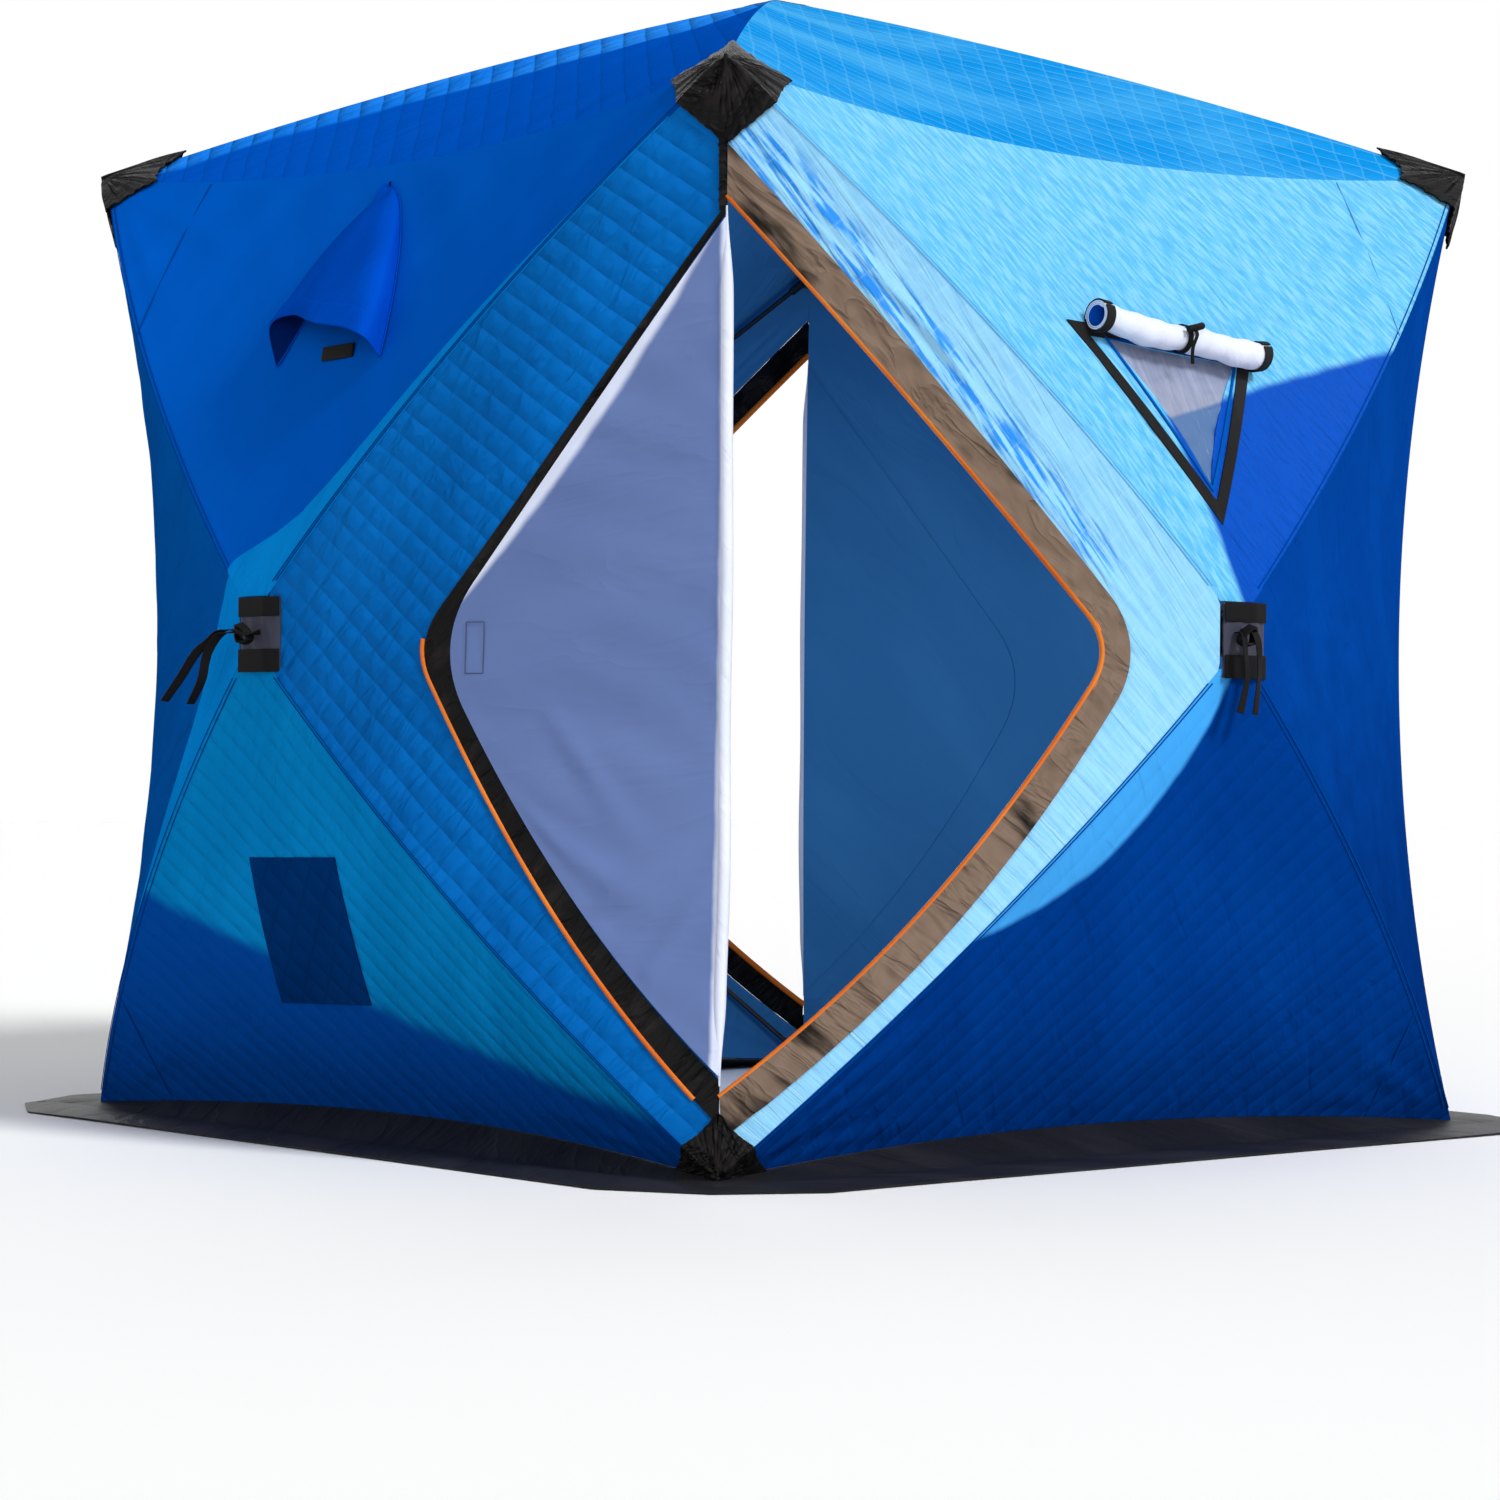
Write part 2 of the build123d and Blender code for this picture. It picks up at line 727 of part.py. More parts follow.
def frame_nodes() -> dict:
    wall_rods = [frame_rod(wall_rod_route(level)) for level in (1, -1)]
    wall_rods += [mirrored(rod) for rod in wall_rods]
    return {
        "hub_patches": four_turns(wall_patch()) + [roof_patch()],
        "hub_pull_straps": four_turns(pull_strap()),
        "hubs": four_turns(wall_hub()) + [roof_hub()],
        "wall_rods": [turned_rod for rod in wall_rods for turned_rod in four_turns(rod)],
        "roof_rods": four_turns(frame_rod(roof_rod_route())),
        "corner_sockets": four_turns(corner_socket(1)) + four_turns(corner_socket(-1)),
    }


def write_nodes(nodes: dict) -> None:
    os.makedirs("parts", exist_ok=True)
    for name, solids in nodes.items():
        shape = solids[0] if len(solids) == 1 else Compound(solids)
        export_step(shape, f"parts/{name}.step")


write_nodes(wall_nodes() | roof_and_base_nodes() | frame_nodes())
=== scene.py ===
"""A pop-up ice fishing shelter: quilted cloth stretched over flexible rods and hubs, with corner doors."""

import logging
import math
from dataclasses import dataclass
from enum import Enum
from typing import Callable, Optional, Sequence, Union

import bpy
import numpy as np
from mathutils import Matrix, Vector


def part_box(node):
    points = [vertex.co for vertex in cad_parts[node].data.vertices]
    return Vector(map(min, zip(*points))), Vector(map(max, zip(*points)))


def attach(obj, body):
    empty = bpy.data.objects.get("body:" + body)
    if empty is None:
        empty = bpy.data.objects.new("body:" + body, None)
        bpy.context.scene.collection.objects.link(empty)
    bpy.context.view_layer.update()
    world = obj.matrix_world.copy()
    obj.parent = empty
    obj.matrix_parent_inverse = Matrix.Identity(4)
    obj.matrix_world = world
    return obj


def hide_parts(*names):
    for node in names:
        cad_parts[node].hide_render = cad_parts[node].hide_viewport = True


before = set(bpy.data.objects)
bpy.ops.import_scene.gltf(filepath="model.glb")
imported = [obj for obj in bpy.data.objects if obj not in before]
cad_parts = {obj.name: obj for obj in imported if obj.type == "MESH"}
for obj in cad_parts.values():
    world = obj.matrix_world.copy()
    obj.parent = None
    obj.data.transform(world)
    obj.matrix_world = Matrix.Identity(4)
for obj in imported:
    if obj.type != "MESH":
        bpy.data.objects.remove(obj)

log = logging.getLogger("shelter")
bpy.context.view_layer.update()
BODY = "root"
PACKED = [piece for piece in bpy.data.objects if piece.type == "MESH"]
UV_NAME = "cloth"

# Short names for types: a spot is a place on a sector's two axes, shares go across and outward on it, and placed
# points come with their outward directions and their flat cloth coordinates
Array = np.ndarray
Piece = bpy.types.Object
Node = bpy.types.Node
Socket = bpy.types.NodeSocket
Number = Union[float, Socket]
Spot = tuple[float, float]
Shares = tuple[Array, Array]
Placed = tuple[Array, Array, Array]
ShareMap = Callable[[Array, Array], Shares]
Rule = Callable[[Array, Array], Placed]


# Helpers for objects, meshes and lines


def select_only(piece: Piece) -> None:
    """Make one object the active and only selected one.

    Args:
        piece: the object to work on.
    """
    bpy.ops.object.select_all(action="DESELECT")
    piece.select_set(True)
    bpy.context.view_layer.objects.active = piece


def apply_modifier(piece: Piece, kind: str, **settings: object) -> None:
    """Add a modifier and apply it.

    Args:
        piece: the object that gets it.
        kind: the modifier's type, such as SOLIDIFY.
        settings: its properties by name.
    """
    select_only(piece)
    modifier = piece.modifiers.new(kind.lower(), kind)
    for name, value in settings.items():
        setattr(modifier, name, value)
    bpy.ops.object.modifier_apply(modifier=modifier.name)


def in_edit_mode(piece: Piece, *steps: Callable[[], object]) -> None:
    """Run mesh operators on a whole mesh.

    Args:
        piece: the mesh object.
        steps: calls that act on the selected geometry.
    """
    select_only(piece)
    bpy.ops.object.mode_set(mode="EDIT")
    bpy.ops.mesh.select_all(action="SELECT")
    for step in steps:
        step()
    bpy.ops.object.mode_set(mode="OBJECT")


def vertex_places(piece: Piece) -> Array:
    """The mesh's vertices as rows of three numbers.

    Args:
        piece: the mesh object.

    Returns:
        One row for each vertex.
    """
    places = np.zeros(len(piece.data.vertices) * 3)
    piece.data.vertices.foreach_get("co", places)
    return places.reshape(-1, 3)


def move_vertices(piece: Piece, places: Array) -> None:
    """Put every vertex of a mesh in its place.

    Args:
        piece: the mesh object.
        places: one row for each vertex.
    """
    piece.data.vertices.foreach_set("co", places.astype(float).ravel())
    piece.data.update()


def blank_cloth(name: str, columns: int, rows: int) -> tuple[Piece, Array, Array]:
    """A flat square of cloth, ready to be shaped.

    Args:
        name: the piece's name.
        columns: cells across it.
        rows: cells along it.

    Returns:
        The object, and each vertex's share across and along the square, from 0 to 1.
    """
    bpy.ops.object.select_all(action="DESELECT")
    bpy.ops.mesh.primitive_grid_add(x_subdivisions=columns, y_subdivisions=rows, size=1.0)
    piece = bpy.context.object
    piece.name = name
    places = vertex_places(piece)
    return piece, places[:, 0] + 0.5, places[:, 1] + 0.5


def face_outwards(piece: Piece, outward: Array) -> None:
    """Turn an open sheet's faces so that they point the way its cloth grows.

    Args:
        piece: the sheet.
        outward: one direction for each vertex.
    """
    agreement = 0.0
    faces = list(piece.data.polygons)
    for face in faces[:: max(1, len(faces) // 200)]:
        way = outward[list(face.vertices)].mean(axis=0)
        agreement += float(np.dot(way, face.normal)) * face.area
    if agreement < 0:
        in_edit_mode(piece, bpy.ops.mesh.flip_normals)


def write_cloth_map(piece: Piece, along: Array, up: Array) -> None:
    """Store the cloth's own flat coordinates, in metres, as the piece's UV map.

    Args:
        piece: the mesh object.
        along: each vertex's place along the cloth.
        up: each vertex's place up the cloth.
    """
    while piece.data.uv_layers:
        piece.data.uv_layers.remove(piece.data.uv_layers[0])
    layer = piece.data.uv_layers.new(name=UV_NAME)
    corners = np.zeros(len(piece.data.loops), dtype=np.int64)
    piece.data.loops.foreach_get("vertex_index", corners)
    layer.data.foreach_set("uv", np.stack([along[corners], up[corners]], axis=1).ravel())


def smooth(piece: Piece, angle: float = 50.0) -> None:
    """Shade a piece smooth, apart from edges sharper than an angle.

    Args:
        piece: the mesh object.
        angle: the angle in degrees.
    """
    select_only(piece)
    bpy.ops.object.shade_smooth_by_angle(angle=math.radians(angle))


def unit(rows: Array) -> Array:
    """Each row as a direction of length 1."""
    return rows / np.linalg.norm(rows, axis=1)[:, None]


def run_lengths(line: Array) -> Array:
    """How far along a line each of its points lies, from 0 at the first."""
    return np.concatenate([[0.0], np.cumsum(np.linalg.norm(np.diff(line, axis=0), axis=1))])


def read_off(where: Array, marks: Array, table: Array) -> Shares:
    """Both columns of a table, read between its marks.

    Args:
        where: the places to read at.
        marks: the place of each row.
        table: rows of two numbers.

    Returns:
        The first and the second column's values.
    """
    return np.interp(where, marks, table[:, 0]), np.interp(where, marks, table[:, 1])


def nearest_distance(points: Array, line: Array) -> Array:
    """How far each point lies from a line of close points.

    Args:
        points: one row for each point.
        line: the line's points.

    Returns:
        One distance for each point.
    """
    best = np.full(len(points), np.inf)
    for start, end in zip(line[:-1], line[1:]):
        step = end - start
        length = max(float(step @ step), 1e-12)
        share = np.clip((points - start) @ step / length, 0.0, 1.0)
        best = np.minimum(best, np.linalg.norm(points - start - share[:, None] * step, axis=1))
    return best


def ease(value: Array, reach: float) -> Array:
    """Rise smoothly from 0 at 0 to 1 at a reach.

    Args:
        value: distances.
        reach: where the full value is met.

    Returns:
        A weight for each distance.
    """
    share = np.clip(value / reach, 0.0, 1.0)
    return share * share * (3.0 - 2.0 * share)


# The shelter's form


@dataclass(frozen=True)
class FormSizes:
    """The frame's main sizes in metres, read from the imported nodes, and the pulls of its cloth."""

    half_wall: float
    corner_height: float
    hem_height: float
    hub_height: float
    hub_reach: float
    patch_half_width: float
    patch_half_height: float
    peak_height: float
    roof_patch_half: float
    wall_rod_bow: float = 0.045
    roof_rod_bow: float = 0.020
    corner_pull: float = 0.070
    top_seam_drop: float = 0.050
    top_seam_pull: float = 0.060
    hem_rise: float = 0.035
    hem_pull: float = 0.060

    @classmethod
    def read(cls) -> "FormSizes":
        """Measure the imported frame.

        Returns:
            The sizes.
        """
        top_low, top_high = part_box("front_wall_top_panel")
        bottom_low, bottom_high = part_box("front_wall_bottom_panel")
        _, side_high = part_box("front_wall_plain_side_panel")
        _, roof_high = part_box("front_roof_panel")
        return cls(
            half_wall=top_high.x,
            corner_height=top_high.z,
            hem_height=bottom_low.z,
            hub_height=(top_low.z + bottom_high.z) / 2,
            hub_reach=-top_low.y - top_high.x,
            patch_half_width=-side_high.x,
            patch_half_height=(top_low.z - bottom_high.z) / 2,
            peak_height=roof_high.z,
            roof_patch_half=-roof_high.y,
        )


def bernstein(share: Array) -> Array:
    """Weights of a parabola's three control points, one column for each share."""
    return np.stack([(1 - share) ** 2, 2 * share * (1 - share), share**2])


def bernstein_slope(share: Array) -> Array:
    """Change of those weights with the share, one column for each share."""
    return np.stack([2 * share - 2, 2 - 4 * share, 2 * share])


def on_net(rows: Array, columns: Array, net: Array) -> Array:
    """Places on a net of control points.

    Args:
        rows: weights of the net's rows, one column for each place.
        columns: weights of its columns.
        net: the points.

    Returns:
        One row for each place.
    """
    return np.einsum("rn,cn,rcd->nd", rows, columns, net)


class Sector:
    """One tensioned sector of cloth, from a short hub edge out to a far seam."""

    def __init__(
        self,
        inner: Sequence[Sequence[float]],
        outer: Sequence[Sequence[float]],
        ways: Sequence[Sequence[float]],
        bow: float,
        crown: Sequence[float],
        axes: tuple[int, int],
    ) -> None:
        """Lay the net of nine points.

        Args:
            inner: the two ends of the hub edge.
            outer: the two corners of the far seam.
            ways: outward directions at the hub, at the first and second corner, and at the far seam.
            bow: how far its two rods stand off their chords.
            crown: how far the far seam stands off its chord.
            axes: the two axes in which places on this sector are given.
        """
        hub, first, second, seam = (np.array(way, float) for way in ways)
        start, end = (np.array(point, float) for point in inner)
        left, right = (np.array(point, float) for point in outer)
        hub_middle = (start + end) / 2
        first_rod = (start + left) / 2 + hub * bow * 2
        last_rod = (end + right) / 2 + hub * bow * 2
        far = (left + right) / 2 + np.array(crown, float) * 2
        centre = (hub_middle + far + first_rod + last_rod) / 2 - (start + end + left + right) / 4
        self.points = np.array([[start, hub_middle, end], [first_rod, centre, last_rod], [left, far, right]])
        self.ways = np.array([[hub, hub, hub], [hub, hub, hub], [first, seam, second]])
        self.axes = axes

    def at(self, across: Array, outward: Array, lift: Union[float, Array] = 0.0) -> Array:
        """Places on the sector.

        Args:
            across: shares from its first rod to its last.
            outward: shares from its hub edge to its far seam.
            lift: how far above the cloth's outer skin, along the seams' own directions.

        Returns:
            One row for each place.
        """
        rows, columns = bernstein(np.asarray(outward, float)), bernstein(np.asarray(across, float))
        return on_net(rows, columns, self.points) + on_net(rows, columns, self.ways) * np.reshape(lift, (-1, 1))

    def slopes(self, across: Array, outward: Array) -> Shares:
        """How far places on the skin move with each of their two shares."""
        by_across = on_net(bernstein(outward), bernstein_slope(across), self.points)
        by_outward = on_net(bernstein_slope(outward), bernstein(across), self.points)
        return by_across, by_outward

    def normal(self, across: Array, outward: Array) -> Array:
        """Outward unit normals of the skin.

        Args:
            across: shares from its first rod to its last.
            outward: shares from its hub edge to its far seam.

        Returns:
            One row for each place.
        """
        normal = np.cross(*self.slopes(across, outward))
        normal *= np.sign(np.sum(normal * self.ways[0, 0], axis=1))[:, None]
        return unit(normal)

    def outer_share(self, axis: int, value: float) -> float:
        """The share along the outer edge at which one coordinate has some value."""
        shares = np.linspace(0, 1, 2001)
        places = self.at(shares, np.ones(2001))[:, axis]
        return float(shares[np.argmin(np.abs(places - value))])

    def locate(self, first: Array, second: Array) -> Shares:
        """Find the shares of places given by two coordinates.

        Args:
            first: coordinates on the sector's first axis.
            second: coordinates on its second axis.

        Returns:
            Shares across and outward.
        """
        first, second = np.asarray(first, float), np.asarray(second, float)
        across, outward = np.full(first.shape, 0.5), np.full(first.shape, 0.5)
        i, j = self.axes
        for _ in range(16):
            here = on_net(bernstein(outward), bernstein(across), self.points)
            by_across, by_outward = self.slopes(across, outward)
            miss_i, miss_j = first - here[:, i], second - here[:, j]
            scale = by_across[:, i] * by_outward[:, j] - by_outward[:, i] * by_across[:, j]
            scale = np.where(np.abs(scale) < 1e-6, 1e-6, scale)
            across = across + np.clip((miss_i * by_outward[:, j] - miss_j * by_outward[:, i]) / scale, -0.4, 0.4)
            outward = outward + np.clip((miss_j * by_across[:, i] - miss_i * by_across[:, j]) / scale, -0.4, 0.4)
        return across, outward


class WallForm:
    """The four sectors of a wall and the roof sector above it, in the front wall's place."""

    def __init__(self, sizes: FormSizes) -> None:
        """Lay out the sectors.

        Args:
            sizes: the shelter's main sizes.
        """
        self.sizes = sizes
        out, up = (0.0, -1.0, 0.0), (0.0, 0.0, 1.0)
        wide, reach = sizes.half_wall, -sizes.half_wall - sizes.hub_reach
        hub_x, above = sizes.patch_half_width, sizes.hub_height + sizes.patch_half_height
        below, edge = sizes.hub_height - sizes.patch_half_height, sizes.roof_patch_half
        top = {side: (side * wide, -wide, sizes.corner_height) for side in (-1, 1)}
        foot = {side: (side * wide, -wide, sizes.hem_height) for side in (-1, 1)}
        top_way = {side: (side, -1.0, 1.0) for side in (-1, 1)}
        foot_way = {side: (side, -1.0, 0.0) for side in (-1, 1)}
        eave = (0.0, sizes.top_seam_pull, -sizes.top_seam_drop)
        self.top = Sector(
            [(-hub_x, reach, above), (hub_x, reach, above)], [top[-1], top[1]],
            [out, top_way[-1], top_way[1], (0.0, -1.0, 1.0)], sizes.wall_rod_bow, eave, (0, 2),
        )
        self.bottom = Sector(
            [(-hub_x, reach, below), (hub_x, reach, below)], [foot[-1], foot[1]],
            [out, foot_way[-1], foot_way[1], out], sizes.wall_rod_bow,
            (0.0, sizes.hem_pull, sizes.hem_rise), (0, 2),
        )
        self.sides = {
            side: Sector(
                [(side * hub_x, reach, above), (side * hub_x, reach, below)], [top[side], foot[side]],
                [out, top_way[side], foot_way[side], (side, -1.0, 0.0)], sizes.wall_rod_bow,
                (-side * sizes.corner_pull, sizes.corner_pull, 0.0), (0, 2),
            )
            for side in (-1, 1)
        }
        self.roof = Sector(
            [(-edge, -edge, sizes.peak_height), (edge, -edge, sizes.peak_height)], [top[-1], top[1]],
            [up, top_way[-1], top_way[1], (0.0, -1.0, 1.0)], sizes.roof_rod_bow, eave, (0, 1),
        )


class Route:
    """A line on a sector, kept in the sector's own shares and divided evenly by its real length."""

    def __init__(self, sector: Sector, across: Array, outward: Array, steps: int = 400) -> None:
        """Keep the line that joins some places.

        Args:
            sector: the sector that it lies on.
            across: shares across, in order.
            outward: shares outward, in order.
            steps: how finely the line is read.
        """
        self.sector = sector
        marks = np.linspace(0, 1, len(across))
        fine = np.linspace(0, 1, steps + 1)
        self.across = np.interp(fine, marks, across)
        self.outward = np.interp(fine, marks, outward)
        runs = run_lengths(sector.at(self.across, self.outward))
        self.marks = runs / runs[-1]

    @classmethod
    def on(cls, sector: Sector, line: Array) -> "Route":
        """The part of a drawn line that lies inside a sector's far seam.

        Args:
            sector: the sector.
            line: places given by the sector's two coordinates.

        Returns:
            The route.
        """
        fine = np.linspace(0, 1, 600)
        across, outward = sector.locate(*read_off(fine, np.linspace(0, 1, len(line)), line))
        inside = np.flatnonzero(outward <= 1.0)
        low, high = inside[0], inside[-1]
        across, outward = across[low : high + 1], np.minimum(outward[low : high + 1], 1.0)
        if low > 0:
            outward[0] = 1.0
        if high < len(fine) - 1:
            outward[-1] = 1.0
        return cls(sector, across, outward)

    def shares(self, where: Array) -> Shares:
        """The sector's shares at places along the route, from 0 at its start to 1 at its end."""
        return np.interp(where, self.marks, self.across), np.interp(where, self.marks, self.outward)

    def places(self, count: int, lift: float = 0.0) -> Array:
        """Evenly spaced points of the route, one row for each.

        Args:
            count: how many.
            lift: how far above the cloth.

        Returns:
            The points.
        """
        across, outward = self.shares(np.linspace(0, 1, count))
        return self.sector.at(across, outward) + self.sector.normal(across, outward) * lift


def part_way(first: Route, second: Route, share: Array) -> Route:
    """A route between two others.

    Args:
        first: the route that share 0 gives.
        second: the route that share 1 gives.
        share: shares at even steps along both.

    Returns:
        The route.
    """
    where = np.linspace(0, 1, 421)
    blend = np.interp(where, np.linspace(0, 1, len(share)), share)
    across, outward = first.shares(where), second.shares(where)
    return Route(
        first.sector,
        across[0] + (outward[0] - across[0]) * blend,
        across[1] + (outward[1] - across[1]) * blend,
    )


def crowd_edges(share: Array, amount: float = 0.55) -> Array:
    """Even shares drawn together towards 0 and 1, where seams need the finest mesh."""
    return share - amount * np.sin(2 * np.pi * share) / (2 * np.pi)


def whole_sector(across: Array, outward: Array) -> Shares:
    """The share map of a piece that fills its sector."""
    return crowd_edges(across), crowd_edges(outward)


def between(first: Route, second: Route) -> ShareMap:
    """The share map of a piece that lies between two routes.

    Args:
        first: the route at share 0 across the piece.
        second: the route at share 1.

    Returns:
        A map from the piece's own shares to its sector's.
    """

    def mapped(across: Array, along: Array) -> Shares:
        """Blend the two routes."""
        share = crowd_edges(across)
        near, far = first.shares(along), second.shares(along)
        return near[0] + (far[0] - near[0]) * share, near[1] + (far[1] - near[1]) * share

    return mapped


def loop_hit(loop: Array, centre: Array, angles: Array) -> Array:
    """Where rays from a centre meet a closed line.

    Args:
        loop: the line's corners, in order, without the first repeated.
        centre: where the rays start.
        angles: the rays' angles.

    Returns:
        One point for each ray.
    """
    hits = np.zeros((len(angles), 2))
    for index, angle in enumerate(angles):
        way = np.array([math.cos(angle), math.sin(angle)])
        best = 0.0
        for start, end in zip(loop, np.roll(loop, -1, axis=0)):
            edge, offset = end - start, start - centre
            cross = way[0] * edge[1] - way[1] * edge[0]
            if abs(cross) < 1e-12:
                continue
            reach = (offset[0] * edge[1] - offset[1] * edge[0]) / cross
            share = (offset[0] * way[1] - offset[1] * way[0]) / cross
            if reach > best and -1e-6 <= share <= 1 + 1e-6:
                best = reach
        hits[index] = centre + way * best
    return hits


def round_a_hole(sector: Sector, hole: Array, count: int) -> ShareMap:
    """The share map of a sector with a hole in it.

    Args:
        sector: the sector.
        hole: the hole's corners on the sector's two axes.
        count: how many steps the piece has round the hole.

    Returns:
        A map whose first share goes round the hole and whose second goes out to the sector's seams.
    """
    across, outward = sector.locate(hole[:, 0], hole[:, 1])
    inner = np.stack([across, outward], axis=1)
    centre = inner.mean(axis=0)
    outer = np.array([[0.0, 0.0], [1.0, 0.0], [1.0, 1.0], [0.0, 1.0]])
    corners = np.concatenate([inner, outer]) - centre
    fixed = np.sort(np.mod(np.arctan2(corners[:, 1], corners[:, 0]), 2 * np.pi))
    angles = np.linspace(0, 2 * np.pi, count, endpoint=False)
    for angle in fixed:
        angles[np.argmin(np.abs(angles - angle))] = angle
    angles = np.append(np.sort(angles), 2 * np.pi + np.sort(angles)[0])
    inner_hits, outer_hits = loop_hit(inner, centre, angles), loop_hit(outer, centre, angles)
    marks = np.linspace(0, 1, count + 1)

    def mapped(round_share: Array, out_share: Array) -> Shares:
        """Blend from the hole to the seams."""
        share = crowd_edges(out_share)
        near, far = read_off(round_share, marks, inner_hits), read_off(round_share, marks, outer_hits)
        return near[0] + (far[0] - near[0]) * share, near[1] + (far[1] - near[1]) * share

    return mapped


# Folds and creases of stretched cloth


@dataclass(frozen=True)
class Fold:
    """One ridge or valley of cloth between two places, in the sector's two coordinates."""

    start: Spot
    end: Spot
    width: float
    rise: float

    def height(self, first: Array, second: Array) -> Array:
        """How far the fold lifts the cloth.

        Args:
            first: coordinates on the first axis.
            second: coordinates on the second axis.

        Returns:
            One height for each place.
        """
        start, end = np.array(self.start), np.array(self.end)
        step = end - start
        length = float(np.linalg.norm(step))
        way = step / length
        off_first, off_second = first - start[0], second - start[1]
        along = (off_first * way[0] + off_second * way[1]) / length
        aside = off_first * -way[1] + off_second * way[0]
        inside = np.clip(along, 0, 1)
        beyond = (along - inside) * length
        spread = np.hypot(aside, beyond) / (self.width * (0.7 + 0.6 * inside))
        taper = np.sin(np.pi * np.clip(0.12 + 0.8 * inside, 0, 1))
        crest = np.exp(-(spread**2)) - 0.4 * np.exp(-((spread / 2.2) ** 2))
        return self.rise * taper * crest


def fan_of_folds(
    centre: tuple[float, float],
    angles: tuple[float, float],
    count: int,
    reach: tuple[float, float],
    rise: float,
    seed: int,
) -> list[Fold]:
    """Tension folds that run out from a corner or hub.

    Args:
        centre: where they start.
        angles: their least and greatest angle in degrees.
        count: how many.
        reach: their least and greatest length.
        rise: the highest rise.
        seed: the seed of their spread.

    Returns:
        The folds.
    """
    chance = np.random.default_rng(seed)
    folds = []
    for angle in np.linspace(*angles, count):
        turn = math.radians(angle + chance.normal(0, 2.0))
        length = chance.uniform(*reach)
        near = chance.uniform(0.02, 0.12)
        start = (centre[0] + math.cos(turn) * near, centre[1] + math.sin(turn) * near)
        bend = turn + chance.normal(0, 0.05)
        end = (start[0] + math.cos(bend) * length, start[1] + math.sin(bend) * length)
        folds.append(Fold(start, end, chance.uniform(0.010, 0.022), rise * chance.uniform(0.45, 1.0)))
    return folds


@dataclass(frozen=True)
class Ripple:
    """A family of soft parallel waves in cloth."""

    angle: float
    length: float
    rise: float
    seed: int

    def height(self, first: Array, second: Array) -> Array:
        """How far the waves lift the cloth, one height for each place."""
        chance = np.random.default_rng(self.seed)
        total = np.zeros_like(first)
        for _ in range(5):
            turn = math.radians(self.angle) + chance.normal(0, 0.22)
            wave = self.length * chance.uniform(0.6, 1.7)
            phase = chance.uniform(0, 2 * math.pi)
            swell = 2 * math.pi / (wave * 4.5)
            across = first * math.cos(turn) + second * math.sin(turn)
            down = -first * math.sin(turn) + second * math.cos(turn)
            total += np.sin(2 * math.pi * across / wave + phase) * (0.6 + 0.4 * np.sin(down * swell + 2 * phase))
        return self.rise * total / 3.0


@dataclass(frozen=True)
class Relief:
    """Everything that lifts a piece of cloth off its smooth form, pinned along its seams."""

    folds: tuple[Fold, ...] = ()
    ripples: tuple[Ripple, ...] = ()
    pin_reach: float = 0.05

    def height(self, first: Array, second: Array, seam: Array) -> Array:
        """How far the cloth is lifted.

        Args:
            first: coordinates on the first axis.
            second: coordinates on the second axis.
            seam: distance from the nearest seam.

        Returns:
            One height for each place.
        """
        total = sum((ripple.height(first, second) for ripple in self.ripples), np.zeros_like(first))
        for fold in self.folds:
            total = total + fold.height(first, second)
        return total * ease(seam, self.pin_reach)


def turned(points: Array, quarter_turns: int) -> Array:
    """Points turned about the shelter's upright axis by quarter turns."""
    x, y = points[:, 0].copy(), points[:, 1].copy()
    for _ in range(quarter_turns % 4):
        x, y = -y, x
    return np.stack([x, y, points[:, 2]], axis=1)


def twin(piece: Piece, name: str, quarter_turns: int) -> Piece:
    """A copy of a finished piece with its own mesh, turned about the shelter's upright axis.

    Args:
        piece: the piece to copy.
        name: the copy's name.
        quarter_turns: how far it is turned.

    Returns:
        The copy.
    """
    copy = piece.copy()
    copy.data = piece.data.copy()
    copy.name = name
    bpy.context.scene.collection.objects.link(copy)
    copy.data.transform(Matrix.Rotation(math.radians(90 * quarter_turns), 4, "Z"))
    return copy


@dataclass(frozen=True)
class WallPlace:
    """Where a wall stands, given as the way to it from the front wall's place."""

    name: str
    mirrored: bool
    quarter_turns: int

    def put(self, points: Array) -> Array:
        """Move points or directions from the front wall's place to this wall's."""
        side = -1.0 if self.mirrored else 1.0
        return turned(points * np.array([side, 1.0, 1.0]), self.quarter_turns)


FACING = np.array([0.0, -1.0, 0.0])
FRONT = WallPlace("front", mirrored=False, quarter_turns=0)
RIGHT = WallPlace("right", mirrored=True, quarter_turns=1)
OPPOSITE = {"front": "back", "right": "left"}


@dataclass(frozen=True)
class Mesh:
    """How finely a piece of cloth is meshed, and whether it closes round on itself."""

    columns: int
    rows: int
    ring: bool = False


def spread_points(name: str, mesh: Mesh, place: Rule) -> Piece:
    """Shape a square of cloth by a rule.

    Args:
        name: the piece's name.
        mesh: how finely it is meshed.
        place: gives points, outward directions and flat cloth coordinates for shares across and along.

    Returns:
        The open sheet, its faces outward.
    """
    piece, across, along = blank_cloth(name, mesh.columns, mesh.rows)
    points, ways, flat = place(across, along)
    move_vertices(piece, points)
    write_cloth_map(piece, flat[:, 0], flat[:, 1])
    face_outwards(piece, ways)
    if mesh.ring:
        in_edit_mode(piece, lambda: bpy.ops.mesh.remove_doubles(threshold=2e-5))
    return piece


